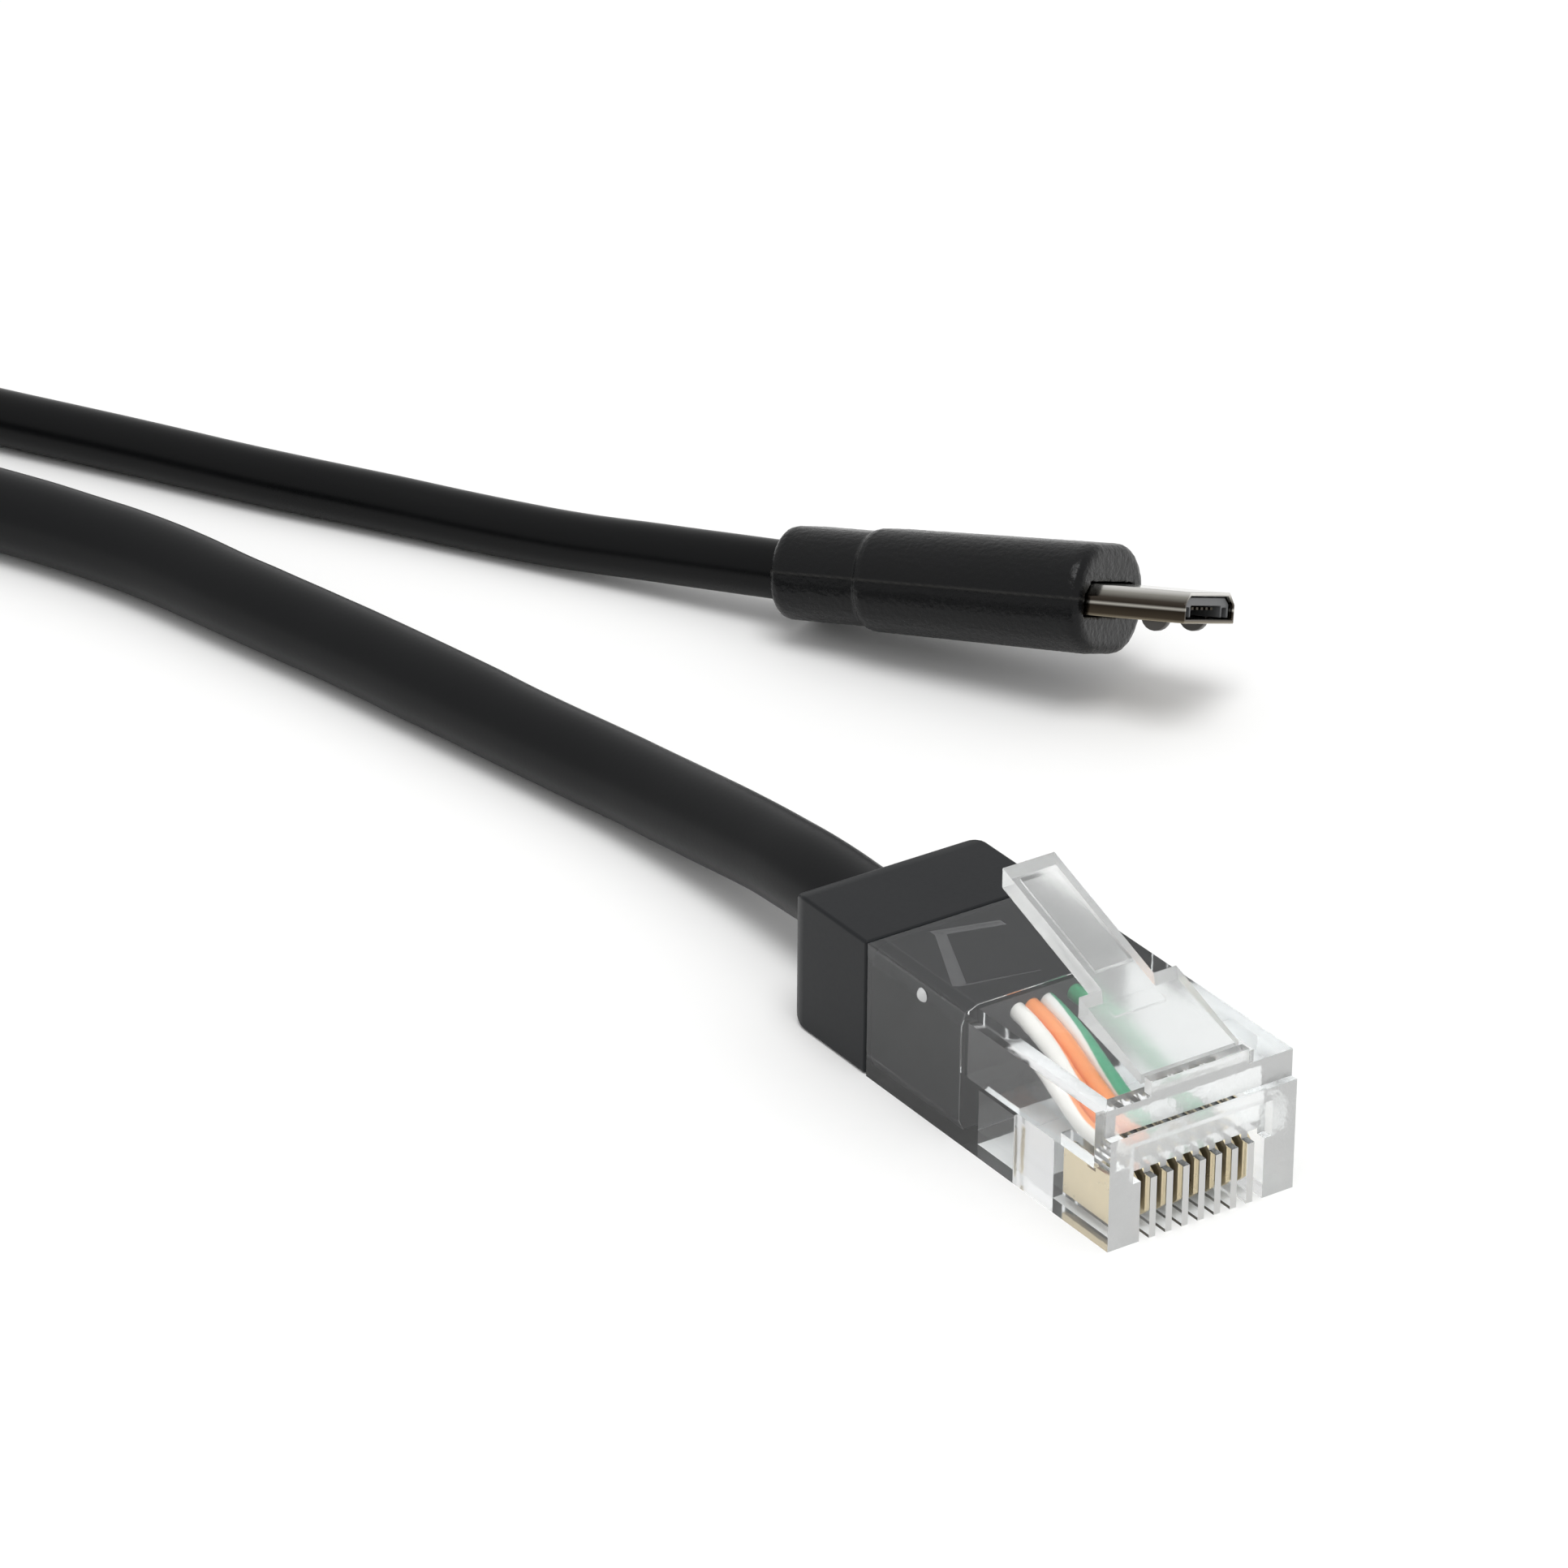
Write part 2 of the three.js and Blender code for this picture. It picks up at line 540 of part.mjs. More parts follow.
function addWires() {
  const first = CORE_LENGTH + PART_FIT;
  for (const wire of WIRES) {
    const endPlace = contactPlace(wire.pin - 1);
    const startPlace = endPlace * WIRE_START_PITCH / CONTACT_PITCH;
    const reach = WIRE_END - first;
    const curve = new THREE.CubicBezierCurve3(
      new THREE.Vector3(first, startPlace, WIRE_START_HEIGHT),
      new THREE.Vector3(first + reach / 3, startPlace, WIRE_START_HEIGHT),
      new THREE.Vector3(WIRE_END - reach / 3, endPlace, WIRE_END_HEIGHT),
      new THREE.Vector3(WIRE_END, endPlace, WIRE_END_HEIGHT),
    );
    add(wire.name, tubeAlong(curve, WIRE_DIAMETER, 8, 6), plastic(wire.colour, 0.45), networkPlug);
  }
}

function latchProfile() {
  const slope = (LEVER_TIP_TOP - SHOULDER_TOP) / (SHOULDER_AT - LEVER_TIP);
  const lean = Math.atan(slope);
  const leverDrop = LEVER_THICKNESS / Math.cos(lean);
  const leverTopAt = (x) => SHOULDER_TOP - (x - SHOULDER_AT) * slope;
  const lever = [
    [LEVER_TIP, LEVER_TIP_TOP - leverDrop], [SHOULDER_AT + 1, leverTopAt(SHOULDER_AT + 1) - leverDrop],
    [SHOULDER_AT + 1, leverTopAt(SHOULDER_AT + 1)], [LEVER_TIP, LEVER_TIP_TOP],
  ];
  const wide = [
    [SHOULDER_AT, SHOULDER_FLOOR], [LATCH_ROOT, LATCH_ROOT_FLOOR],
    [LATCH_ROOT, LATCH_ROOT_FLOOR + LATCH_ROOT_THICKNESS], [SHOULDER_AT, SHOULDER_TOP],
  ];
  return { lever, wide, leverTopAt, lean };
}

function addLatch() {
  const { lever, wide, leverTopAt, lean } = latchProfile();
  const panelWidth = LEVER_WIDTH - 2 * LEVER_PANEL_RIM;
  const panelDrop = LEVER_PANEL_DEPTH / Math.cos(lean);
  const from = LEVER_TIP + LEVER_PANEL_RIM * 2;
  const to = from + LEVER_PANEL_LENGTH;
  const panel = acrossY([
    [from, leverTopAt(from) - panelDrop], [to, leverTopAt(to) - panelDrop],
    [to, leverTopAt(to) + 1], [from, leverTopAt(from) + 1],
  ], panelWidth);
  const solid = cutFrom(joined(acrossY(lever, LEVER_WIDTH), acrossY(wide, LATCH_WIDTH)), panel);
  add('network_plug_latch', geometryOf(solid), clearPlastic, networkPlug);
}

// Micro power plug: x is 0 at the open end of the shell and falls towards the cord
const powerPlug = new THREE.Group();
powerPlug.position.set(...POWER_PLUG_PLACE);
powerPlug.rotation.set(radians(POWER_PLUG_ROLL), -radians(POWER_PLUG_PITCH), radians(POWER_PLUG_YAW), 'ZYX');
parts.add(powerPlug);

function shellShape(inset) {
  const side = SHELL_WIDTH / 2 - inset;
  const flat = SHELL_TOP_WIDTH / 2 - inset / 2;
  const low = -SHELL_HEIGHT / 2 + inset;
  const high = SHELL_HEIGHT / 2 - inset;
  return new THREE.Shape([
    [-side, low], [side, low], [side, SHELL_SHOULDER], [flat, high], [-flat, high], [-side, SHELL_SHOULDER],
  ].map(([y, z]) => new THREE.Vector2(y, z)));
}

const shellBack = -SHELL_REACH - SHELL_SEAT;
const hookSides = [{ name: 'near', y: -HOOK_OFFSET }, { name: 'far', y: HOOK_OFFSET }];

function addShell() {
  const outer = alongX(shellShape(0), shellBack, 0);
  const inner = alongX(shellShape(SHELL_WALL), shellBack - 1, 1);
  const windows = hookSides.map((hook) => box(
    [-HOOK_BACK - HOOK_TRAVEL, hook.y - HOOK_WIDTH / 2 - HOOK_CLEAR, -SHELL_HEIGHT],
    [-HOOK_TIP + HOOK_TRAVEL, hook.y + HOOK_WIDTH / 2 + HOOK_CLEAR, -SHELL_HEIGHT / 2 + SHELL_WALL + HOOK_CLEAR],
  ));
  add('power_plug_shell', geometryOf(cutFrom(solidOf(outer), inner, ...windows)), nickel, powerPlug);
}

function hookChannel(hook) {
  return box([-HOOK_ROOT - HOOK_CLEAR, hook.y - HOOK_WIDTH / 2 - HOOK_CLEAR, -SHELL_HEIGHT],
    [1, hook.y + HOOK_WIDTH / 2 + HOOK_CLEAR, -SHELL_HEIGHT / 2 + SHELL_WALL + HOOK_CLEAR + HOOK_THICKNESS + HOOK_TRAVEL]);
}

function addInsulator() {
  const block = alongX(shellShape(SHELL_WALL + HOOK_CLEAR), shellBack, -INSULATOR_SETBACK);
  const slot = box([-TONGUE_SLOT_DEPTH, -TONGUE_SLOT_WIDTH / 2, -SHELL_HEIGHT],
    [1, TONGUE_SLOT_WIDTH / 2, TONGUE_SLOT_TOP]);
  const solid = cutFrom(solidOf(block), slot, ...hookSides.map(hookChannel));
  add('power_plug_insulator', geometryOf(solid), insulatorGrey, powerPlug);
  for (let index = 0; index < TONGUE_CONTACTS; index += 1) {
    const place = (index - (TONGUE_CONTACTS - 1) / 2) * TONGUE_PITCH;
    const top = TONGUE_SLOT_TOP - PART_FIT;
    const strip = box([-TONGUE_SLOT_DEPTH + PART_FIT, place - TONGUE_CONTACT_SIZE / 2, top - TONGUE_CONTACT_SIZE / 2],
      [-TONGUE_SLOT_DEPTH + PART_FIT + TONGUE_CONTACT_LENGTH, place + TONGUE_CONTACT_SIZE / 2, top]);
    add(`power_plug_contact_${index + 1}`, strip, gold, powerPlug);
  }
}

function addHooks() {
  const floor = -SHELL_HEIGHT / 2 + SHELL_WALL + HOOK_CLEAR;
  const hookMiddle = (HOOK_TIP + HOOK_BACK) / 2;
  const profile = [
    [-HOOK_ROOT, floor], [-HOOK_BACK, floor], [-hookMiddle, -SHELL_HEIGHT / 2 - HOOK_DROP], [-HOOK_TIP, floor],
    [-HOOK_TIP, floor + HOOK_THICKNESS], [-HOOK_ROOT, floor + HOOK_THICKNESS],
  ];
  for (const hook of hookSides) {
    add(`power_plug_hook_${hook.name}`, acrossY(profile, HOOK_WIDTH, hook.y), springSteel, powerPlug);
  }
}

// A stadium section whose long sides bulge a little, for the mould and its collar
function mouldShape(width, thickness) {
  return roundedRectangle(width, thickness, thickness * 0.46);
}

function mouldBlock(width, thickness, from, to) {
  const shape = mouldShape(width - 2 * MOULD_ROUND, thickness - 2 * MOULD_ROUND);
  const geometry = new THREE.ExtrudeGeometry(shape, {
    depth: to - from - 2 * MOULD_ROUND, bevelEnabled: true, bevelThickness: MOULD_ROUND,
    bevelSize: MOULD_ROUND, bevelSegments: 3, curveSegments: 6,
  });
  geometry.rotateX(Math.PI / 2);
  geometry.rotateZ(Math.PI / 2);
  geometry.translate(from + MOULD_ROUND, 0, 0);
  return geometry;
}

function taperTowards(geometry, from, to, widthRatio, thicknessRatio) {
  const position = geometry.attributes.position;
  for (let index = 0; index < position.count; index += 1) {
    const share = (to - position.getX(index)) / (to - from);
    position.setY(index, position.getY(index) * (1 + (widthRatio - 1) * share));
    position.setZ(index, position.getZ(index) * (1 + (thicknessRatio - 1) * share));
  }
  return geometry;
}

function addMould() {
  const face = -SHELL_REACH;
  const step = face - MOULD_LENGTH;
  const block = taperTowards(mouldBlock(MOULD_WIDTH, MOULD_THICKNESS, step, face), step, face,
    MOULD_BACK_WIDTH / MOULD_WIDTH, MOULD_BACK_THICKNESS / MOULD_THICKNESS);
  const collar = mouldBlock(COLLAR_WIDTH, COLLAR_THICKNESS, step - COLLAR_LENGTH, step + MOULD_ROUND * 2);
  const seat = alongX(shellShape(-PART_FIT), shellBack - PART_FIT, face + 1);
  add('power_plug_mould', geometryOf(cutFrom(joined(block, collar), seat)), mouldRubber, powerPlug);
}

// Cords and wires: a round section run along a curve
function tubeAlong(curve, diameter, sides, steps) {
  const section = new THREE.Shape();
  for (let side = 0; side < sides; side += 1) {
    const angle = (side + 0.5) * 2 * Math.PI / sides;
    const point = [Math.cos(angle) * diameter / 2, Math.sin(angle) * diameter / 2];
    if (side === 0) section.moveTo(...point);
    else section.lineTo(...point);
  }
  section.closePath();
  return new THREE.ExtrudeGeometry(section, { steps, bevelEnabled: false, extrudePath: curve });
}

function cordCurve(start, route, end) {
  const points = [start, ...route, end].map((point) => new THREE.Vector3(...point));
  return new THREE.CatmullRomCurve3(points, false, 'centripetal');
}

function plugPoint(plug, x, y, z) {
  plug.updateMatrixWorld(true);
  const point = new THREE.Vector3(x, y, z).applyMatrix4(plug.matrixWorld);
  return [point.x, point.y, point.z];
}

function addCords() {
  const start = (exit) => [reliefEnd + CORD_END_GAP, exit.y, SEAM_HEIGHT];
  const networkEnd = plugPoint(networkPlug, -BOOT_LENGTH - CORD_END_GAP, 0, PLUG_HEIGHT / 2 + 0.2);
  const powerEnd = plugPoint(powerPlug, -SHELL_REACH - MOULD_LENGTH - COLLAR_LENGTH - CORD_END_GAP, 0, 0);
  const networkCurve = cordCurve(start(exits[0]), NETWORK_ROUTE, networkEnd);
  const powerCurve = cordCurve(start(exits[1]), POWER_ROUTE, powerEnd);
  add('network_cord', tubeAlong(networkCurve, NETWORK_CORD_DIAMETER, 10, NETWORK_CORD_STEPS), cordJacket);
  add('power_cord', tubeAlong(powerCurve, POWER_CORD_DIAMETER, 8, POWER_CORD_STEPS), cordJacket);
}

addHousing();
addSocket();
addBoard();
addReliefs();
addBoot();
addClearBody();
addBlades();
addWires();
addLatch();
addShell();
addInsulator();
addHooks();
addMould();
addCords();

export default parts;
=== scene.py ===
"""Power-over-Ethernet splitter with its two leads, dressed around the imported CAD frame.

The file is laid out as an add-on: settings first, then one operator for each piece or group
of like pieces, then a panel that lists them. It runs as a script. Sizes are in metres unless
a name ends in _MM. The two plugs are drawn in millimetres in their own frames.
"""

import json
import math

import bmesh
import bpy
from bpy.props import FloatProperty, FloatVectorProperty, IntProperty, PointerProperty
from mathutils import Matrix, Vector, noise

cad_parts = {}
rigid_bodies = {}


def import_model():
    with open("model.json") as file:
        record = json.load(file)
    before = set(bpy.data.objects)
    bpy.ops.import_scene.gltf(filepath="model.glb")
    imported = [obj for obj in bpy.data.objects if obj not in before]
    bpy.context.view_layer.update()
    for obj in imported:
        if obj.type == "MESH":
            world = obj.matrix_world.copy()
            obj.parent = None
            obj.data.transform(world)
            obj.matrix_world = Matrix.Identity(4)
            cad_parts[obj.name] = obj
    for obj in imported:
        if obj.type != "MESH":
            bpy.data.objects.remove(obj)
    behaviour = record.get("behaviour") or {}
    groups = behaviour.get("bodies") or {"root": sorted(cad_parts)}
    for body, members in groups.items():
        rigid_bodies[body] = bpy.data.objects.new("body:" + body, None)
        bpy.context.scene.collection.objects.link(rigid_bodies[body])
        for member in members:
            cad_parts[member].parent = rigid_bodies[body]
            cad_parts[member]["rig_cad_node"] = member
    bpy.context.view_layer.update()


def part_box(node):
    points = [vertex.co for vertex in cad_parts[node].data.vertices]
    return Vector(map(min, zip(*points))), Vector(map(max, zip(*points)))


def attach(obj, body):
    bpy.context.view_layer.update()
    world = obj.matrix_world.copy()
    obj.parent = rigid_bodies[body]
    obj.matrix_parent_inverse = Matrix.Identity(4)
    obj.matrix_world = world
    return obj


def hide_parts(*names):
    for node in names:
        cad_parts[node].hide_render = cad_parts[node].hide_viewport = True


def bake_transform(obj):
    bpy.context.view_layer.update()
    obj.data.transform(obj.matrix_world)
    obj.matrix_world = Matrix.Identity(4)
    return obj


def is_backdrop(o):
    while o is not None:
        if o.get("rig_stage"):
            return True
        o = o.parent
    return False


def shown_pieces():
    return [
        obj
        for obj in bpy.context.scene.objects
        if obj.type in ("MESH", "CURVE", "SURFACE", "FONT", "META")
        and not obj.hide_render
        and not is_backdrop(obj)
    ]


bl_info = {
    "name": "Powered Network Splitter",
    "version": (1, 0, 0),
    "blender": (4, 5, 0),
    "location": "3D View > Sidebar > Splitter",
    "description": "Builds a network splitter with a clear network plug and a small power plug",
    "category": "Add Mesh",
}

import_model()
MM = 0.001

# Frames of the two plugs
# The network plug lies flat: x runs to its nose, z 0 is its underside.
NETWORK_FRAME = (
    Matrix.Translation((0.194, -0.0346, 0.00002))
    @ Matrix.Rotation(math.radians(-28.8), 4, "Z")
    @ Matrix.Scale(MM, 4)
)
# The power plug rests on its mould's heel and on its cord: x runs out of the shell's mouth.
POWER_FRAME = (
    Matrix.Translation((0.190, 0.0063, 0.00698))
    @ Matrix.Rotation(math.radians(-8.0), 4, "Y")
    @ Matrix.Rotation(math.radians(-23.2), 4, "X")
    @ Matrix.Scale(MM, 4)
)

# Vertices nearer than this are one, and faces within this angle (degrees) are one face.
WELD = 2e-6
FLAT_ANGLE = 0.6
# Edges sharper than these angles (degrees) are shaded as sharp, and are rounded.
SMOOTH_ANGLE = 35.0
EDGE_ANGLE = 30.0

# Routes of the two cords, as in the part's source
CORD_EXIT_X = 0.0573
EXIT_HEIGHT = 0.011
NETWORK_EXIT = (CORD_EXIT_X, -0.006, EXIT_HEIGHT)
POWER_EXIT = (CORD_EXIT_X, 0.006, EXIT_HEIGHT)
NETWORK_ROUTE_MM = [
    (59, -6, 10.9), (64, -6, 10.3), (70, -6, 8.6), (77, -6, 6), (84, -6.1, 3.9),
    (92, -6.3, 2.7), (101, -6.5, 2.5), (110, -6.8, 2.5), (119, -7.2, 2.5), (128, -8.4, 2.5),
    (136, -10.6, 2.5), (144, -12.9, 2.5), (152, -15.4, 2.5), (160, -18.1, 2.5),
    (167, -20.6, 2.7), (173, -23.2, 3.1), (178.4, -25.9, 3.7), (183, -28.5, 4.1),
]
NETWORK_CORD_END_MM = (-8.0, 0, 4.15)
POWER_ROUTE_MM = [
    (59, 6, 10.9), (64, 6, 10.3), (70, 6, 8.4), (77, 5.9, 5.4), (84, 5.8, 3.0),
    (92, 5.6, 1.9), (101, 5.5, 1.8), (110, 5.5, 1.8), (119, 5.6, 1.8), (128, 5.6, 1.8),
    (136, 5.9, 1.8), (143, 6.1, 1.8), (149, 6.2, 2.0), (154, 6.3, 2.4), (158.5, 6.3, 2.8),
]
POWER_CORD_END_MM = (-26.8, 0, 0)


class SplitterCamera(bpy.types.PropertyGroup):
    """Where the photograph was taken from"""

    lens: FloatProperty(
        name="Lens", description="Focal length on a 36 mm frame", default=167.7, min=1
    )
    place: FloatVectorProperty(
        name="Place", description="Where the camera stands", subtype="TRANSLATION",
        unit="LENGTH", default=(0.33792, -0.33720, 0.18978),
    )
    target: FloatVectorProperty(
        name="Target", description="The point at the middle of the frame",
        subtype="TRANSLATION", unit="LENGTH", default=(0.17241, -0.012376, 0.0),
    )
    roll: FloatProperty(
        name="Roll", description="Turn about the line of sight", subtype="ANGLE",
        unit="ROTATION", default=math.radians(0.43),
    )


class SplitterStage(bpy.types.PropertyGroup):
    """Floor and light of the studio"""

    floor_size: FloatProperty(
        name="Floor size", description="Side of the floor", unit="LENGTH", default=6.0
    )
    floor_color: FloatVectorProperty(
        name="Floor colour", description="Colour of the floor", subtype="COLOR",
        default=(0.93, 0.93, 0.925), min=0, max=1,
    )
    softbox_size: FloatProperty(
        name="Softbox size", description="Side of the overhead light", unit="LENGTH",
        default=0.34,
    )
    softbox_power: FloatProperty(
        name="Softbox power", description="Strength of the overhead light", unit="POWER",
        default=1.8,
    )
    softbox_place: FloatVectorProperty(
        name="Softbox place", description="Where the overhead light hangs",
        subtype="TRANSLATION", unit="LENGTH", default=(0.25, -0.15, 0.62),
    )
    zenith: FloatProperty(
        name="Zenith light", description="Strength of the room's light from above", default=0.80
    )
    horizon: FloatProperty(
        name="Horizon light", description="Strength of the room's light from the sides",
        default=0.72,
    )


class SplitterCords(bpy.types.PropertyGroup):
    """Sizes of the two cords"""

    network_diameter: FloatProperty(
        name="Network cord", description="Diameter of the network cord", unit="LENGTH",
        default=0.0049,
    )
    power_diameter: FloatProperty(
        name="Power cord", description="Diameter of the power cord", unit="LENGTH",
        default=0.0035,
    )
    ripple: FloatProperty(
        name="Ripple", description="How far the jacket's surface wanders", unit="LENGTH",
        default=0.00015,
    )
    sides: IntProperty(
        name="Sides", description="Faces around each cord", default=48, min=12
    )


# Meshes

def finish_piece(obj, body, replaces, smooth=SMOOTH_ANGLE):
    """Shade a finished piece by angle, tie it to its body and hide the CAD nodes it replaces."""
    obj = shade_by_area(obj, smooth)
    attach(obj, body)
    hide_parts(*replaces)
    return obj


def shade_by_area(obj, smooth=SMOOTH_ANGLE):
    """Smooth shading that keeps flat faces flat beside their rounded edges."""
    obj.data.shade_smooth()
    obj.data.set_sharp_from_angle(angle=math.radians(smooth))
    normals = obj.modifiers.new("normals", "WEIGHTED_NORMAL")
    normals.keep_sharp = True
    normals.weight = 100
    return bake_modifiers(obj)


def piece_from_mesh(name, mesh, material):
    """An object in the scene that shows mesh in one material."""
    mesh.materials.clear()
    if material:
        mesh.materials.append(material)
    obj = bpy.data.objects.new(name, mesh)
    bpy.context.scene.collection.objects.link(obj)
    return obj


def bake_modifiers(obj):
    """Replace obj's mesh by what its modifiers make of it, and take them off."""
    graph = bpy.context.evaluated_depsgraph_get()
    mesh = bpy.data.meshes.new_from_object(obj.evaluated_get(graph), depsgraph=graph)
    mesh.name = obj.name
    obj.modifiers.clear()
    if obj.type == "MESH":
        obj.data = mesh
        return obj
    swapped = bpy.data.objects.new(obj.name, mesh)
    name = obj.name
    bpy.data.objects.remove(obj)
    swapped.name = name
    bpy.context.scene.collection.objects.link(swapped)
    return swapped


def softened_copy(node, name, material, width_mm, segments=2):
    """A copy of a CAD node's mesh with its coplanar faces joined and its edges rounded."""
    shape = bmesh.new()
    shape.from_mesh(bpy.data.objects[node].data)
    bmesh.ops.remove_doubles(shape, verts=shape.verts, dist=WELD)
    bmesh.ops.dissolve_limit(shape, angle_limit=math.radians(FLAT_ANGLE), verts=shape.verts,
                             edges=shape.edges, use_dissolve_boundaries=False)
    mesh = bpy.data.meshes.new(name)
    shape.to_mesh(mesh)
    shape.free()
    obj = piece_from_mesh(name, mesh, material)
    return round_edges(obj, width_mm, segments) if width_mm else obj


def slab(outline, low, high, axis="Y"):
    """A closed solid: an outline in the x-z plane drawn out across y, or x-y drawn up z."""
    shape = bmesh.new()
    place = (lambda a, b, c: (a, c, b)) if axis == "Y" else (lambda a, b, c: (a, b, c))
    near = [shape.verts.new(place(a, b, low)) for a, b in outline]
    far = [shape.verts.new(place(a, b, high)) for a, b in outline]
    shape.faces.new(near)
    shape.faces.new(far[::-1])
    for i, (a, b) in enumerate(zip(near, far)):
        shape.faces.new((a, near[i - 1], far[i - 1], b))
    bmesh.ops.recalc_face_normals(shape, faces=shape.faces)
    return shape


def place_shape(shape, name, material, placing):
    """An object of a bmesh that is drawn in millimetres in the frame placing."""
    shape.transform(placing)
    mesh = bpy.data.meshes.new(name)
    shape.to_mesh(mesh)
    shape.free()
    return piece_from_mesh(name, mesh, material)


def carve(obj, shapes, placing, operation="DIFFERENCE"):
    """Cut shapes out of obj, or join them to it, each drawn in the frame placing."""
    tools = [place_shape(shape, "cutter", None, placing) for shape in shapes]
    for tool in tools:
        change = obj.modifiers.new("change", "BOOLEAN")
        change.operation = operation
        change.solver = "EXACT"
        change.object = tool
    obj = bake_modifiers(obj)
    for tool in tools:
        bpy.data.objects.remove(tool)
    return obj


def round_edges(obj, width_mm, segments=2, angle=EDGE_ANGLE):
    """Round the sharp edges of obj by width_mm."""
    bevel = obj.modifiers.new("edges", "BEVEL")
    bevel.width = width_mm * MM
    bevel.segments = segments
    bevel.limit_method = "ANGLE"
    bevel.angle_limit = math.radians(angle)
    bevel.miter_outer = "MITER_ARC"
    bevel.use_clamp_overlap = True
    return bake_modifiers(obj)


def roughen(obj, placing, depth_mm, lumps_per_mm, ridge_mm, ridge_half_mm):
    """Pebble a dense mesh, and raise its parting line at the height z 0 of its frame.

    The attribute parting is 1 on the line and 0 beside it.
    """
    inverse = placing.inverted()
    line = obj.data.attributes.new("parting", "FLOAT", "POINT")
    moves = []
    for vertex in obj.data.vertices:
        place = inverse @ vertex.co
        coarse = noise.noise(place * lumps_per_mm)
        fine = noise.noise(place * lumps_per_mm * 2)
        lump = coarse + 0.5 * fine
        on_line = max(0.0, 1.0 - abs(place.z) / ridge_half_mm)
        line.data[vertex.index].value = on_line
        moves.append(vertex.co + vertex.normal * (lump * depth_mm + on_line * ridge_mm) * MM)
    for vertex, place in zip(obj.data.vertices, moves):
        vertex.co = place


def dense_skin(obj, voxel_mm):
    """Turn obj into an even mesh of small quads."""
    skin = obj.modifiers.new("skin", "REMESH")
    skin.mode = "VOXEL"
    skin.voxel_size = voxel_mm * MM
    skin.use_smooth_shade = True
    return bake_modifiers(obj)


def rounded_route(points, steps):
    """A centripetal Catmull-Rom line through points, with steps pieces between neighbours."""
    knots = [2 * points[0] - points[1], *points, 2 * points[-1] - points[-2]]
    line = []
    for a, b, c, d in zip(knots, knots[1:], knots[2:], knots[3:]):
        t1 = (b - a).length ** 0.5
        t2 = t1 + (c - b).length ** 0.5
        t3 = t2 + (d - c).length ** 0.5
        for i in range(steps):
            t = t1 + (t2 - t1) * i / steps
            ab = a.lerp(b, t / t1)
            bc = b.lerp(c, (t - t1) / (t2 - t1))
            cd = c.lerp(d, (t - t2) / (t3 - t2))
            line.append(ab.lerp(bc, t / t2).lerp(bc.lerp(cd, (t - t1) / (t3 - t1)),
                                                  (t - t1) / (t2 - t1)))
    return line + [points[-1]]


def lay_tube(name, line, values):
    """A tube along line, made by the cords' shape tree with the named values."""
    curve = bpy.data.curves.new(name, "CURVE")
    curve.dimensions = "3D"
    spline = curve.splines.new("POLY")
    spline.points.add(len(line) - 1)
    for point, place in zip(spline.points, line):
        point.co = (*place, 1)
    laid = bpy.data.objects.new(name, curve)
    bpy.context.scene.collection.objects.link(laid)
    return grow(laid, cord_tree(), values)


# Geometry Nodes

class NodeSheet:
    """A node tree with short calls for adding and joining nodes."""

    def __init__(self, tree):
        self.tree = tree

    def add(self, kind, settings=None, **inputs):
        """Add a node; settings are its properties, inputs what its named sockets take."""
        node = self.tree.nodes.new(kind)
        for name, value in (settings or {}).items():
            setattr(node, name, value)
        for name, value in inputs.items():
            self.feed(node, name.replace("_", " "), value)
        return node

    def feed(self, node, socket, value):
        """Give a node's input a value, or join it to another node's output."""
        if isinstance(value, bpy.types.NodeSocket):
            self.tree.links.new(value, node.inputs[socket])
        else:
            node.inputs[socket].default_value = value

    def calculate(self, operation, *values):
        """The result of one math operation on values."""
        node = self.add("ShaderNodeMath", {"operation": operation})
        for i, value in enumerate(values):
            self.feed(node, i, value)
        return node.outputs[0]

    def mix(self, factor, low, high):
        """The colour between low, where factor is 0, and high, where it is 1."""
        node = self.add("ShaderNodeMix", {"data_type": "RGBA"})
        for socket, value in ((0, factor), (6, low), (7, high)):
            self.feed(node, socket, value)
        return node.outputs[2]

    def place(self):
        """The shaded point's place in its object."""
        return self.add("ShaderNodeTexCoord").outputs["Object"]


def new_group(kind, name, inputs, outputs):
    """A node group of one kind, with named inputs, their defaults, and named outputs."""
    tree = bpy.data.node_groups.new(name, kind)
    for label, socket_type, default in inputs:
        socket = tree.interface.new_socket(label, in_out="INPUT", socket_type=socket_type)
        if default is not None:
            socket.default_value = default
    for label, socket_type in outputs:
        tree.interface.new_socket(label, in_out="OUTPUT", socket_type=socket_type)
    sheet = NodeSheet(tree)
    return sheet, sheet.add("NodeGroupInput").outputs, sheet.add("NodeGroupOutput")


def new_shape_tree(name, sizes):
    """A Geometry Nodes tree with geometry in and out, and the named inputs in sizes."""
    return new_group("GeometryNodeTree", name,
                     [("Geometry", "NodeSocketGeometry", None), *sizes],
                     [("Geometry", "NodeSocketGeometry")])


def grow(obj, tree, values):
    """Run a shape tree on obj with the named values, and keep only the plain mesh."""
    modifier = obj.modifiers.new("shape", "NODES")
    modifier.node_group = tree
    for item in tree.interface.items_tree:
        if item.item_type == "SOCKET" and item.in_out == "INPUT" and item.name in values:
            modifier[item.identifier] = values[item.name]
    return bake_modifiers(obj)


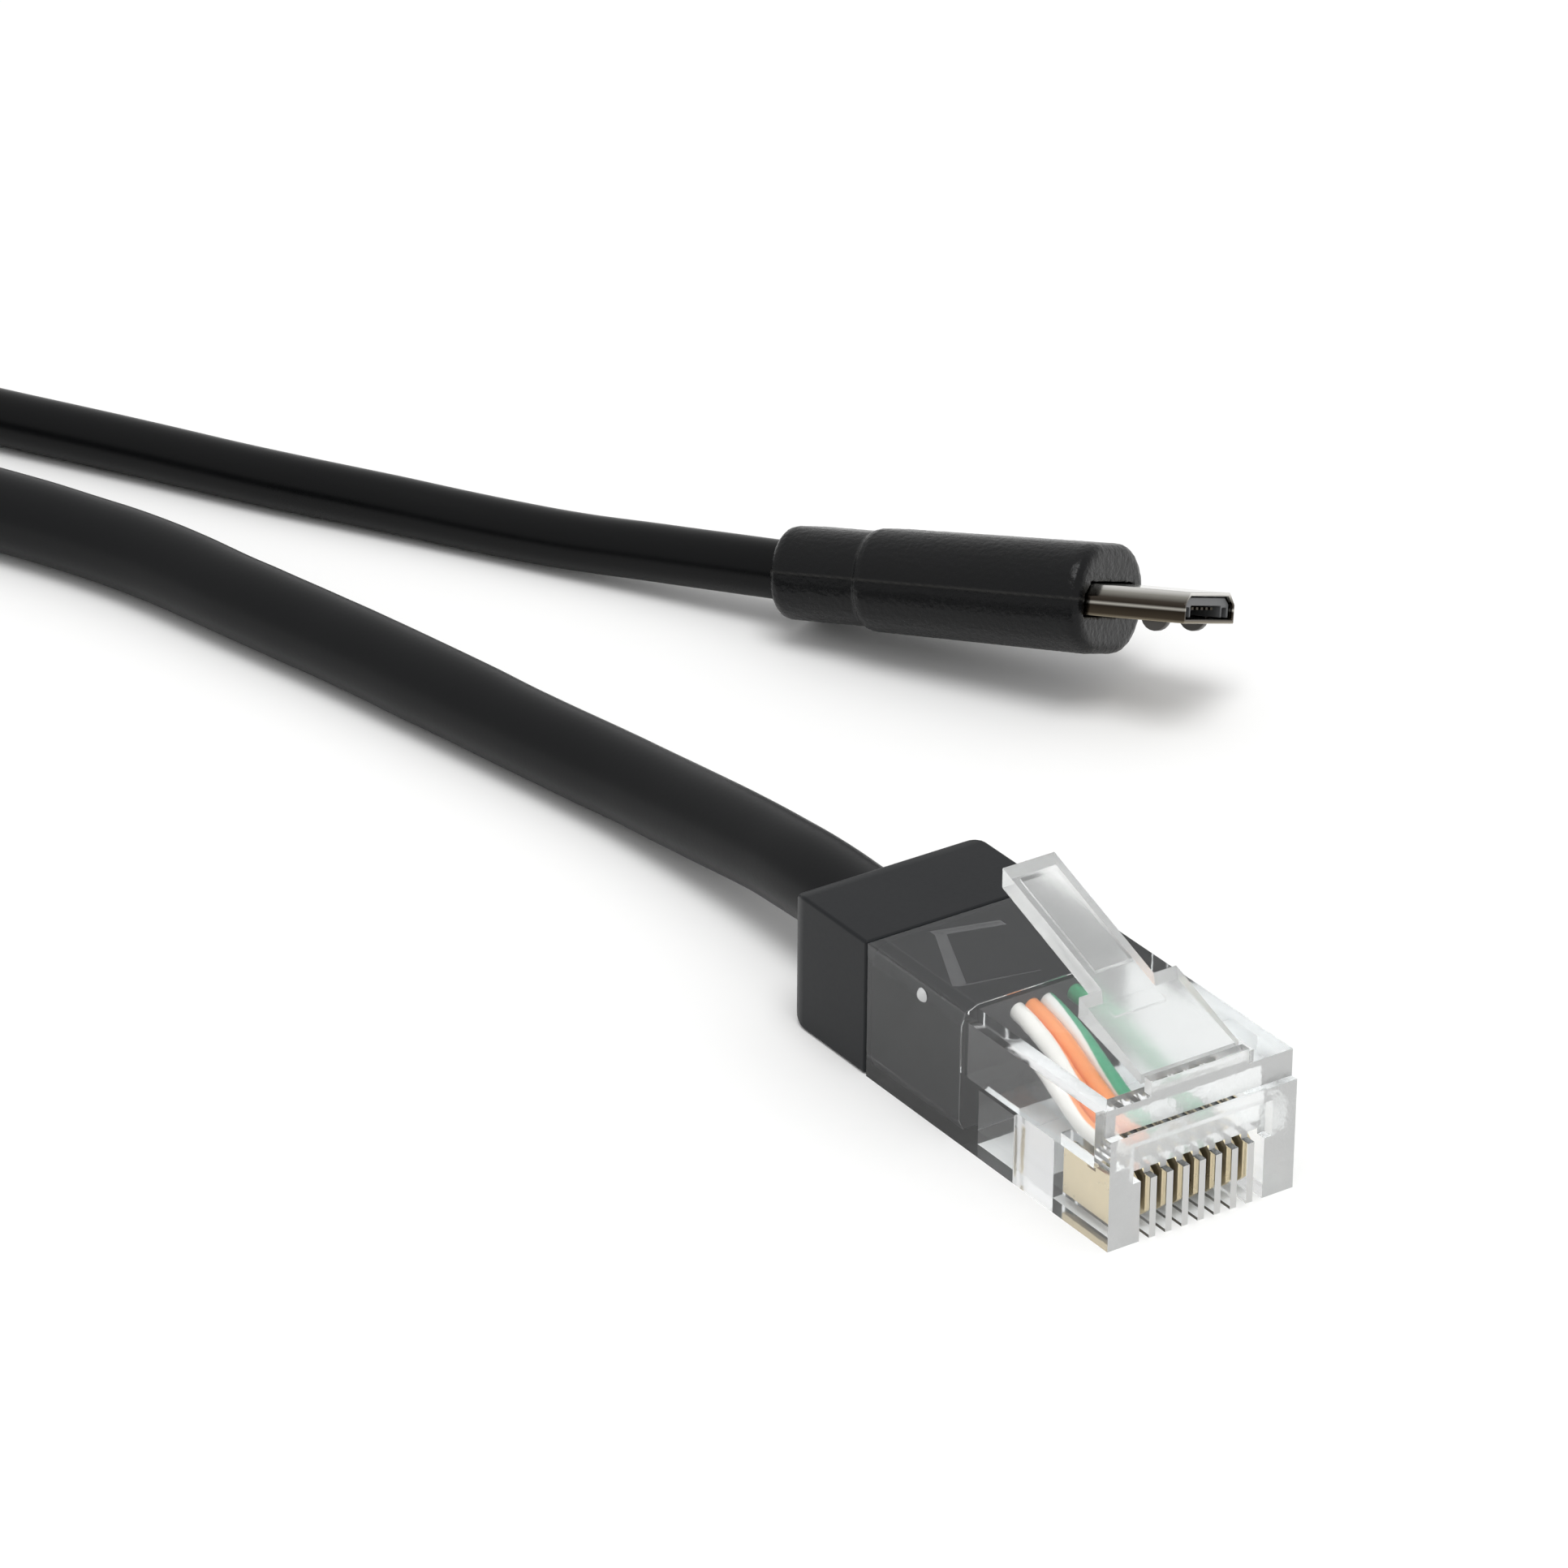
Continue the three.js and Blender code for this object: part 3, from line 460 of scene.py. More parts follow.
def cord_tree():
    """A closed tube along a curve, with a slow ripple in its surface.

    The attribute facing is 1 on a line that starts at the angle Turn round the tube and goes
    on by the angle Twist over its length.
    """
    found = bpy.data.node_groups.get("cord_tube")
    if found:
        return found
    sheet, given, made = new_shape_tree(
        "cord_tube",
        [
            ("Radius", "NodeSocketFloat", 0.002),
            ("Sides", "NodeSocketInt", 48),
            ("Ripple", "NodeSocketFloat", 0.0),
            ("Ripple Scale", "NodeSocketFloat", 60.0),
            ("Turn", "NodeSocketFloat", 0.0),
            ("Twist", "NodeSocketFloat", 0.0),
            ("Jacket", "NodeSocketMaterial", None),
        ],
    )
    upright = sheet.add("GeometryNodeSetCurveNormal", {"mode": "Z_UP"}, Curve=given["Geometry"])
    along = sheet.add("GeometryNodeSplineParameter")
    tilt = sheet.calculate("MULTIPLY_ADD", along.outputs["Factor"], given["Twist"],
                           given["Turn"])
    turned = sheet.add("GeometryNodeSetCurveTilt", Curve=upright.outputs[0], Tilt=tilt)
    profile = sheet.add("GeometryNodeCurvePrimitiveCircle", Resolution=given["Sides"],
                        Radius=given["Radius"])
    around = sheet.add("GeometryNodeSplineParameter")
    angle = sheet.calculate("MULTIPLY", around.outputs["Factor"], math.tau)
    marked = sheet.add("GeometryNodeStoreNamedAttribute", Geometry=profile.outputs["Curve"],
                       Name="facing", Value=sheet.calculate("COSINE", angle))
    tube = sheet.add("GeometryNodeCurveToMesh", Curve=turned.outputs[0],
                     Profile_Curve=marked.outputs[0], Fill_Caps=True)
    wander = sheet.add("ShaderNodeTexNoise", Scale=given["Ripple Scale"], Detail=1.0)
    centred = sheet.calculate("SUBTRACT", wander.outputs[0], 0.5)
    depth = sheet.calculate("MULTIPLY", centred, given["Ripple"])
    offset = sheet.add("ShaderNodeVectorMath", {"operation": "SCALE"}, Scale=depth)
    sheet.feed(offset, 0, sheet.add("GeometryNodeInputNormal").outputs[0])
    moved = sheet.add("GeometryNodeSetPosition", Geometry=tube.outputs[0],
                      Offset=offset.outputs[0])
    smooth = sheet.add("GeometryNodeSetShadeSmooth", Geometry=moved.outputs[0])
    coat(sheet, smooth, given["Jacket"], made)
    return sheet.tree


def row_tree():
    """Copies of the given shape in a straight row."""
    found = bpy.data.node_groups.get("row_of_contacts")
    if found:
        return found
    sheet, given, made = new_shape_tree(
        "row_of_contacts",
        [
            ("Count", "NodeSocketInt", 8),
            ("Step", "NodeSocketVector", (0.0, 0.001, 0.0)),
            ("Plating", "NodeSocketMaterial", None),
        ],
    )
    places = sheet.add("GeometryNodeMeshLine", Count=given["Count"], Offset=given["Step"])
    copies = sheet.add("GeometryNodeInstanceOnPoints", Points=places.outputs[0],
                       Instance=given["Geometry"])
    coat(sheet, copies, given["Plating"], made)
    return sheet.tree


def coat(sheet, shape, material, made):
    """Turn a shape into one real mesh in a material, and give it out."""
    real = sheet.add("GeometryNodeRealizeInstances", Geometry=shape.outputs[0])
    coated = sheet.add("GeometryNodeSetMaterial", Geometry=real.outputs[0], Material=material)
    sheet.feed(made, "Geometry", coated.outputs[0])


# Shader node groups

def moulded_grain():
    """Fine grain of a moulded or extruded plastic: a height, a roughness and a tint."""
    found = bpy.data.node_groups.get("moulded_grain")
    if found:
        return found
    sheet, given, made = new_group(
        "ShaderNodeTree", "moulded_grain",
        [
            ("Vector", "NodeSocketVector", None),
            ("Color", "NodeSocketColor", (0.01, 0.01, 0.01, 1)),
            ("Shade", "NodeSocketFloat", 0.15),
            ("Grain Scale", "NodeSocketFloat", 2500.0),
            ("Patch Scale", "NodeSocketFloat", 150.0),
            ("Roughness", "NodeSocketFloat", 0.4),
            ("Roughness Spread", "NodeSocketFloat", 0.1),
        ],
        [("Color", "NodeSocketColor"), ("Roughness", "NodeSocketFloat"),
         ("Height", "NodeSocketFloat")],
    )
    grain = sheet.add("ShaderNodeTexNoise", Vector=given["Vector"], Scale=given["Grain Scale"],
                      Detail=3.0, Roughness=0.6)
    patch = sheet.add("ShaderNodeTexNoise", Vector=given["Vector"], Scale=given["Patch Scale"],
                      Detail=2.0)
    mixed = sheet.calculate("ADD", patch.outputs[0], grain.outputs[0])
    centred = sheet.calculate("SUBTRACT", mixed, 1.0)
    shade = sheet.calculate("MULTIPLY_ADD", centred, given["Shade"], 1.0)
    rough = sheet.calculate("MULTIPLY_ADD", centred, given["Roughness Spread"],
                            given["Roughness"])
    tint = sheet.add("ShaderNodeVectorMath", {"operation": "SCALE"}, Scale=shade)
    sheet.feed(tint, 0, given["Color"])
    sheet.feed(made, "Color", tint.outputs[0])
    sheet.feed(made, "Roughness", rough)
    sheet.feed(made, "Height", grain.outputs[0])
    return sheet.tree


def lint_specks():
    """Sparse pale specks of lint and dust: a mask."""
    found = bpy.data.node_groups.get("lint_specks")
    if found:
        return found
    sheet, given, made = new_group(
        "ShaderNodeTree", "lint_specks",
        [
            ("Vector", "NodeSocketVector", None),
            ("Speck Scale", "NodeSocketFloat", 900.0),
            ("Amount", "NodeSocketFloat", 0.3),
        ],
        [("Mask", "NodeSocketFloat")],
    )
    cells = sheet.add("ShaderNodeTexVoronoi", Vector=given["Vector"], Scale=given["Speck Scale"])
    near = sheet.add("ShaderNodeMapRange", Value=cells.outputs["Distance"], From_Min=0.10,
                     From_Max=0.16, To_Min=1.0, To_Max=0.0)
    rare = sheet.add("ShaderNodeSeparateColor", Color=cells.outputs["Color"])
    some = sheet.calculate("LESS_THAN", rare.outputs[0], given["Amount"])
    sheet.feed(made, "Mask", sheet.calculate("MULTIPLY", near.outputs[0], some))
    return sheet.tree


# Materials

def new_material(name, **uniform):
    """A material with one Principled shader, whose uniform numbers are set directly."""
    material = bpy.data.materials.new(name)
    material.use_nodes = True
    sheet = NodeSheet(material.node_tree)
    sheet.tree.nodes.clear()
    shader = sheet.add("ShaderNodeBsdfPrincipled")
    output = sheet.add("ShaderNodeOutputMaterial", Surface=shader.outputs[0])
    output.is_active_output = True
    for label, value in uniform.items():
        sheet.feed(shader, label.replace("_", " "), value)
    return material, sheet, shader


def grained(sheet, tone, roughness, **values):
    """What the moulded grain makes of a tone and a roughness."""
    return sheet.add("ShaderNodeGroup", {"node_tree": moulded_grain()}, Vector=sheet.place(),
                     Color=tone, Roughness=roughness, **values).outputs


def join_grain(sheet, shader, grain, tone, bump, bump_depth):
    """Give the shader its tone, and the grain's roughness and relief."""
    relief = sheet.add("ShaderNodeBump", Strength=bump, Distance=bump_depth,
                       Height=grain["Height"])
    sheet.feed(shader, "Base Color", tone)
    sheet.feed(shader, "Roughness", grain["Roughness"])
    sheet.feed(shader, "Normal", relief.outputs[0])


LINT_COLOR = (0.35, 0.35, 0.36, 1)


def plastic(name, color, roughness, grain_scale=2500.0, bump=0.1, bump_depth=0.00002,
            lint=0.0, line_color=None, **uniform):
    """A moulded plastic with grain in its colour, roughness and relief, and some lint.

    With line_color, the attribute parting shows as a line of that colour.
    """
    material, sheet, shader = new_material(name, **uniform)
    grain = grained(sheet, (*color, 1), roughness, Grain_Scale=grain_scale)
    tone = grain["Color"]
    if lint:
        specks = sheet.add("ShaderNodeGroup", {"node_tree": lint_specks()},
                           Vector=sheet.place(), Amount=lint)
        tone = sheet.mix(specks.outputs["Mask"], tone, LINT_COLOR)
    if line_color:
        parting = sheet.add("ShaderNodeAttribute", {"attribute_name": "parting"})
        tone = sheet.mix(parting.outputs["Fac"], tone, (*line_color, 1))
    join_grain(sheet, shader, grain, tone, bump, bump_depth)
    return material


def painted_reflection_tones(sheet, bands):
    """Painted reflections: the tones in bands at their heights from 0 to 1, by the attribute
    level.
    """
    level = sheet.add("ShaderNodeAttribute", {"attribute_name": "level"})
    ramp = sheet.add("ShaderNodeValToRGB", Fac=level.outputs["Fac"])
    stops = ramp.color_ramp.elements
    while len(stops) < len(bands):
        stops.new(0.5)
    for stop, (height, shade) in zip(stops, bands):
        stop.position = height
        stop.color = (*shade, 1)
    return ramp.outputs["Color"]


def metal(name, roughness, color=None, bands=()):
    """A plated or gilded metal with a slightly uneven polish, in one colour or in bands of
    painted reflection.
    """
    material, sheet, shader = new_material(name, Metallic=1.0)
    tone = painted_reflection_tones(sheet, bands) if bands else (*color, 1)
    grain = grained(sheet, tone, roughness, Shade=0.12, Grain_Scale=1800.0,
                    Patch_Scale=300.0, Roughness_Spread=0.15)
    join_grain(sheet, shader, grain, grain["Color"], bump=0.12, bump_depth=0.00001)
    return material


CLEAR_IOR = 1.45
SHADOW_TINT = (0.86, 0.87, 0.87, 1)


def clear_plastic(name, color, roughness, wave=0.15, wave_scale=260.0, clearness=1.0,
                  **uniform):
    """Clear polycarbonate with faint flow marks. Lamps shine through it on what is inside."""
    # Clearness below 1 shows the colour as a milky white: on the ribs, the nose and the bump it
    # is painted brightness.
    material, sheet, shader = new_material(name, Metallic=0.0, IOR=CLEAR_IOR,
                                           Transmission_Weight=clearness, **uniform)
    grain = grained(sheet, (*color, 1), roughness, Shade=0.03, Grain_Scale=wave_scale,
                    Patch_Scale=180.0, Roughness_Spread=0.04)
    join_grain(sheet, shader, grain, grain["Color"], bump=wave, bump_depth=0.0001)
    passing = sheet.add("ShaderNodeBsdfTransparent", Color=SHADOW_TINT)
    choice = sheet.add("ShaderNodeMixShader",
                       Fac=sheet.add("ShaderNodeLightPath").outputs["Is Shadow Ray"])
    sheet.feed(choice, 1, shader.outputs[0])
    sheet.feed(choice, 2, passing.outputs[0])
    output = next(n for n in sheet.tree.nodes if n.type == "OUTPUT_MATERIAL")
    sheet.feed(output, "Surface", choice.outputs[0])
    return material


WIRE_ROUGHNESS = 0.35
STRIPE_BLUR = 0.06


def striped_wire(name, color, stripe, width=0.35):
    """Glossy wire insulation with one stripe along it, which turns slowly round the wire."""
    material, sheet, shader = new_material(name, Roughness=WIRE_ROUGHNESS)
    facing = sheet.add("ShaderNodeAttribute", {"attribute_name": "facing"})
    mask = sheet.add("ShaderNodeMapRange", Value=facing.outputs["Fac"],
                     From_Min=1.0 - width - STRIPE_BLUR, From_Max=1.0 - width + STRIPE_BLUR)
    tone = sheet.mix(mask.outputs[0], (*color, 1), (*stripe, 1))
    grain = grained(sheet, tone, WIRE_ROUGHNESS, Shade=0.06)
    sheet.feed(shader, "Base Color", grain["Color"])
    sheet.feed(shader, "Roughness", grain["Roughness"])
    return material


class Finishes:
    """The finishes of the object, each made when it is first asked for."""

    made = {}

    @classmethod
    def get(cls, name):
        """The material of that name."""
        if name not in cls.made:
            make, values = FINISHES[name]
            cls.made[name] = make(name, **values)
        return cls.made[name]


# Painted reflections on the nickel, as tones from the shell's foot (0) to its top (1): light and
# dark bands stand in for the floor and room reflected in it
NICKEL_PAINTED_REFLECTIONS = (
    (0.00, (0.30, 0.26, 0.19)), (0.10, (0.06, 0.047, 0.033)), (0.36, (0.028, 0.022, 0.016)),
    (0.43, (0.50, 0.48, 0.43)), (0.50, (0.04, 0.032, 0.025)), (0.64, (0.06, 0.05, 0.04)),
    (0.82, (0.30, 0.29, 0.26)), (0.95, (0.72, 0.71, 0.68)),
)

FINISHES = {
    "network_cord_rubber": (plastic, dict(
        color=(0.0038, 0.0041, 0.0046), roughness=0.34, grain_scale=3000.0, bump=0.25,
        lint=0.004, Specular_IOR_Level=0.17)),
    "power_cord_rubber": (plastic, dict(
        color=(0.0022, 0.0024, 0.0027), roughness=0.30, grain_scale=3000.0, bump=0.25,
        lint=0.004, Specular_IOR_Level=0.15)),
    "housing_plastic": (plastic, dict(
        color=(0.015, 0.0155, 0.0165), roughness=0.48, grain_scale=2200.0, bump=0.9,
        bump_depth=0.00005, lint=0.004, Specular_IOR_Level=0.3)),
    "socket_plastic": (plastic, dict(color=(0.012, 0.012, 0.013), roughness=0.32)),
    "board_laminate": (plastic, dict(
        color=(0.012, 0.075, 0.035), roughness=0.4, grain_scale=4000.0, bump=0.2)),
    "gilt_contact": (metal, dict(color=(0.80, 0.68, 0.46), roughness=0.3)),
    "boot_plastic": (plastic, dict(
        color=(0.0068, 0.0078, 0.0092), roughness=0.45, grain_scale=4200.0, bump=0.05,
        lint=0.004, Specular_IOR_Level=0.22)),
    "mould_plastic": (plastic, dict(
        color=(0.0026, 0.0028, 0.0032), roughness=0.28, grain_scale=4200.0, bump=0.8,
        bump_depth=0.00004, lint=0.006, line_color=(0.022, 0.0215, 0.020),
        Specular_IOR_Level=0.22)),
    "clear_body": (clear_plastic, dict(
        color=(0.97, 0.98, 0.985), roughness=0.06, Specular_IOR_Level=0.2)),
    # The ribs are frosted, and their milky white is painted brightness; the nose and the bump's
    # glint are painted bright the same way.
    "frosted_ribs": (clear_plastic, dict(
        color=(0.95, 0.95, 0.93), roughness=0.3, clearness=0.38, Specular_IOR_Level=0.4)),
    "clear_nose": (clear_plastic, dict(
        color=(0.94, 0.95, 0.945), roughness=0.16, clearness=0.45, wave=1.0, wave_scale=900.0,
        Specular_IOR_Level=0.4)),
    "clear_latch": (clear_plastic, dict(
        color=(0.975, 0.985, 0.98), roughness=0.22, clearness=0.86, Specular_IOR_Level=0.4)),
    # The nickel's light and dark bands are painted reflections.
    "nickel_plate": (metal, dict(roughness=0.16, bands=NICKEL_PAINTED_REFLECTIONS)),
    "spring_steel": (metal, dict(color=(0.10, 0.095, 0.09), roughness=0.35)),
    # The power plug's gilt contacts are painted nearly black: painted shade of the shell's slot.
    "aged_contact": (metal, dict(color=(0.045, 0.036, 0.022), roughness=0.45)),
    "grey_insulator": (plastic, dict(color=(0.125, 0.128, 0.132), roughness=0.45)),
    "white_orange_wire": (striped_wire, dict(color=(0.80, 0.78, 0.74),
                                             stripe=(0.86, 0.30, 0.10), width=0.75)),
    "white_green_wire": (striped_wire, dict(color=(0.80, 0.79, 0.76),
                                            stripe=(0.05, 0.32, 0.17))),
    "orange_wire": (plastic, dict(color=(0.82, 0.27, 0.08), roughness=WIRE_ROUGHNESS)),
    "green_wire": (plastic, dict(color=(0.03, 0.27, 0.12), roughness=WIRE_ROUGHNESS)),
}


# Operators

FILM_WIDTH_MM = 36.0
NEAREST_SEEN = 0.01
FARTHEST_SEEN = 50.0


class SPLITTER_OT_camera(bpy.types.Operator):
    """Set the camera where the photograph was taken from"""

    bl_idname = "splitter.camera"
    bl_label = "Camera"

    def execute(self, context):
        """Make the camera and give the scene to it."""
        given = context.scene.splitter_camera
        lens = bpy.data.cameras.new("camera")
        lens.lens = given.lens
        lens.sensor_width = FILM_WIDTH_MM
        lens.clip_start = NEAREST_SEEN
        lens.clip_end = FARTHEST_SEEN
        camera = bpy.data.objects.new("camera", lens)
        sight = Vector(given.target) - Vector(given.place)
        camera.matrix_world = (
            Matrix.Translation(given.place)
            @ sight.to_track_quat("-Z", "Y").to_matrix().to_4x4()
            @ Matrix.Rotation(given.roll, 4, "Z")
        )
        context.scene.collection.objects.link(camera)
        context.scene.camera = camera
        return {"FINISHED"}


# Pieces of a cord's line between two points of its route, and ripples a metre
CORD_STEPS = 10
CORD_RIPPLE_SCALE = 130.0
# The thin power cord's ripple is this many times smaller than the network cord's.
POWER_RIPPLE_CUT = 3


class SPLITTER_OT_cords(bpy.types.Operator):
    """Lay the two cords on their routes"""

    bl_idname = "splitter.cords"
    bl_label = "Cords"

    def execute(self, context):
        """Make each cord a tube along its route, in the cords' jacket."""
        given = context.scene.splitter_cords
        routes = (
            ("network_cord", NETWORK_EXIT, NETWORK_ROUTE_MM,
             NETWORK_FRAME @ Vector(NETWORK_CORD_END_MM), given.network_diameter,
             given.ripple),
            ("power_cord", POWER_EXIT, POWER_ROUTE_MM,
             POWER_FRAME @ Vector(POWER_CORD_END_MM), given.power_diameter,
             given.ripple / POWER_RIPPLE_CUT),
        )
        for node, start, route, end, diameter, ripple in routes:
            points = [Vector(start), *(Vector(p) * MM for p in route), end]
            line = rounded_route(points, CORD_STEPS)
            jacket = lay_tube(node + "_jacket", line, {
                "Radius": diameter / 2, "Sides": given.sides, "Ripple": ripple,
                "Ripple Scale": CORD_RIPPLE_SCALE, "Jacket": Finishes.get(node + "_rubber"),
            })
            finish_piece(jacket, "splitter", [node])
        return {"FINISHED"}


# Sizes of the network plug's pieces, in its own frame
BOOT_EDGE_MM = 0.18
# The core's floor, top and half width, and the limits that tell its vertices apart
CORE_FLOOR_MM = 0.6
CORE_TOP_MM = 7.1
CORE_HALF_MM = 4.99
CORE_MARGIN_MM = 0.01
CORE_EDGE_MM = 0.55
CORE_FRONT_MM = 0.5
# How far the core is pressed out against the clear plastic
CORE_PRESS_MM = 0.18
# How far a cut starts before its face, and how near a face counts as part of the bump
MARGIN_MM = 0.02
CLEAR_EDGE_MM = 0.16
# Shallow marks in the roof over the core, and a small bump on the near side
CORE_ROOM_TOP_MM = 7.25
CORE_MARKS_MM = (
    [(0.5, -2.2), (1.1, -2.2), (2.1, 1.6), (1.5, 1.6)],
    [(0.6, -2.0), (1.2, -1.6), (6.3, -3.9), (6.0, -4.6)],
    [(6.0, -4.3), (6.2, -4.3), (7.1, 0.2), (6.9, 0.2)],
)
CORE_MARK_DEPTH_MM = 0.12
# Shallow marks in the roof over the core, and a small bump on the near side, whose milky white
# is a painted glint
SIDE_BUMP_MM = 0.44
SIDE_BUMP_PLACE_MM = (5.1, -5.66, 7.15)
# The frosted ribs between the blades, and the nose's front, whose faces are steep; their milky
# white is painted brightness
RIBS_START_MM = 20.5
RIBS_HALF_MM = 4.45
RIBS_TOP_MM = 3.42
NOSE_FACE_MM = 20.7
STEEP = 0.5
LATCH_EDGE_MM = 0.14
PIN_COUNT = 8
PIN_PITCH_MM = 1.02
MIDDLE_PIN = 4.5
# A wire's way from the core to its slot: x, the part of the way across, z
WIRE_WAY = (
    (8.1, 0.0, 5.9), (9.6, 0.16, 5.9), (12.0, 0.42, 5.7), (15.0, 0.80, 5.15),
    (17.2, 1.0, 4.72), (18.8, 1.0, 4.6),
)
WIRE_STEPS = 16
WIRE_SIDES = 36
WIRE_DIAMETER_MM = 0.95
WIRE_RIPPLE_MM = 0.03
WIRE_RIPPLE_SCALE = 500.0
WIRE_TWIST = 1.6
# Node, pin, y at the core, finish and the angle at which the stripe starts
WIRES = (
    ("network_wire_1_white_orange", 1, -2.0, "white_orange_wire", 2.2),
    ("network_wire_2_orange", 2, -1.1, "orange_wire", 0.0),
    ("network_wire_3_white_green", 3, -0.1, "white_green_wire", 3.6),
    ("network_wire_6_green", 6, 1.6, "green_wire", 0.0),
)
BLADE_THICKNESS_MM = 0.32
BLADE_EDGE_MM = 0.05
BLADE_OUTLINE_MM = [
    (16.2, 0.6), (20.2, 0.6), (20.6, 1.0), (20.6, 3.1), (20.2, 3.4), (18.9, 3.4),
    (18.9, 3.1), (18.2, 3.1), (18.2, 3.4), (16.2, 3.4),
]


class SPLITTER_OT_network_boot(bpy.types.Operator):
    """Build the black boot with the core that fills the plug's back half"""

    bl_idname = "splitter.network_boot"
    bl_label = "Network plug boot"

    def execute(self, context):
        """Make the boot, and press its core against the clear plastic."""
        boot = softened_copy("network_plug_boot", "network_plug_boot_shell",
                             Finishes.get("boot_plastic"), BOOT_EDGE_MM)
        inverse = NETWORK_FRAME.inverted()
        middle = (CORE_FLOOR_MM + CORE_TOP_MM) / 2
        for vertex in boot.data.vertices:
            x, y, z = inverse @ vertex.co
            in_width = abs(y) < CORE_HALF_MM + CORE_MARGIN_MM
            in_height = abs(z - middle) < middle - CORE_EDGE_MM
            if x > -CORE_MARGIN_MM and in_width and in_height:
                vertex.co = NETWORK_FRAME @ Vector((
                    x + CORE_PRESS_MM * (x > CORE_FRONT_MM), y + math.copysign(CORE_PRESS_MM, y),
                    z + math.copysign(CORE_PRESS_MM, z - middle)))
        finish_piece(boot, "splitter", ["network_plug_boot"])
        return {"FINISHED"}


class SPLITTER_OT_clear_body(bpy.types.Operator):
    """Build the clear body of the network plug"""

    bl_idname = "splitter.clear_body"
    bl_label = "Network plug body"

    def execute(self, context):
        """Make the clear body with its marks and its bump, frost its ribs, and paint the ribs,
        nose and bump brighter in milky white.
        """
        clear = softened_copy("network_plug_body", "network_plug_clear_body",
                              Finishes.get("clear_body"), 0)
        low = CORE_ROOM_TOP_MM - MARGIN_MM
        high = CORE_ROOM_TOP_MM + CORE_MARK_DEPTH_MM
        marks = [slab(outline, low, high, "Z") for outline in CORE_MARKS_MM]
        clear = carve(clear, marks, NETWORK_FRAME)
        clear = round_edges(clear, CLEAR_EDGE_MM, 3)
        bump = bmesh.new()
        bmesh.ops.create_icosphere(bump, subdivisions=3, radius=SIDE_BUMP_MM,
                                   matrix=Matrix.Translation(SIDE_BUMP_PLACE_MM))
        clear = carve(clear, [bump], NETWORK_FRAME, "UNION")
        clear.data.materials.append(Finishes.get("frosted_ribs"))
        clear.data.materials.append(Finishes.get("clear_nose"))
        inverse = NETWORK_FRAME.inverted()
        for face in clear.data.polygons:
            middle = inverse @ face.center
            x, y, z = middle
            on_rib = x > RIBS_START_MM and abs(y) < RIBS_HALF_MM and z < RIBS_TOP_MM
            # The bump takes the nose's milky white as a painted glint.
            on_bump = (middle - Vector(SIDE_BUMP_PLACE_MM)).length < SIDE_BUMP_MM + MARGIN_MM
            on_nose = x > NOSE_FACE_MM and abs(face.normal.z) < STEEP
            # 0 is clear_body, 1 the frosted ribs painted bright, and 2 the nose and the bump
            # painted bright.
            face.material_index = 1 if on_rib else 2 if on_bump or on_nose else 0
        finish_piece(clear, "splitter", ["network_plug_body"])
        return {"FINISHED"}


class SPLITTER_OT_latch(bpy.types.Operator):
    """Build the clear latch"""

    bl_idname = "splitter.latch"
    bl_label = "Network plug latch"

    def execute(self, context):
        """Make the latch with rounded edges and area-weighted shading."""
        latch = shade_by_area(softened_copy("network_plug_latch", "network_plug_clear_latch",
                                            Finishes.get("clear_latch"), LATCH_EDGE_MM, 3))
        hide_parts("network_plug_latch")
        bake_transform(latch)
        return {"FINISHED"}


class SPLITTER_OT_plug_wires(bpy.types.Operator):
    """Lay the four wires from the core to their blades"""

    bl_idname = "splitter.plug_wires"
    bl_label = "Network plug wires"

    def execute(self, context):
        """Make each wire a tube that sags a little on its way to its slot."""
        for node, pin, start, finish, turn in WIRES:
            across = PIN_PITCH_MM * (pin - MIDDLE_PIN) - start
            points = [Vector((x, start + across * part, z)) for x, part, z in WIRE_WAY]
            line = [NETWORK_FRAME @ p for p in rounded_route(points, WIRE_STEPS)]
            wire = lay_tube(node + "_insulation", line, {
                "Radius": WIRE_DIAMETER_MM / 2 * MM, "Sides": WIRE_SIDES,
                "Ripple": WIRE_RIPPLE_MM * MM, "Ripple Scale": WIRE_RIPPLE_SCALE,
                "Turn": turn, "Twist": WIRE_TWIST, "Jacket": Finishes.get(finish),
            })
            finish_piece(wire, "splitter", [node])
        return {"FINISHED"}


class SPLITTER_OT_plug_blades(bpy.types.Operator):
    """Set the eight gilt blades in the network plug's slots"""

    bl_idname = "splitter.plug_blades"
    bl_label = "Network plug blades"

    def execute(self, context):
        """Draw one blade and repeat it across the plug."""
        half = BLADE_THICKNESS_MM / 2
        first = PIN_PITCH_MM * (1 - MIDDLE_PIN)
        blade = slab(BLADE_OUTLINE_MM, first - half, first + half)
        row = place_shape(blade, "network_plug_blades", Finishes.get("gilt_contact"),
                          NETWORK_FRAME)
        row = round_edges(row, BLADE_EDGE_MM)
        step = NETWORK_FRAME.to_3x3() @ Vector((0, PIN_PITCH_MM, 0))
        row = grow(row, row_tree(), {"Count": PIN_COUNT, "Step": step[:],
                                     "Plating": Finishes.get("gilt_contact")})
        finish_piece(row, "splitter",
                     [f"network_plug_contact_{i}" for i in range(1, PIN_COUNT + 1)])
        return {"FINISHED"}


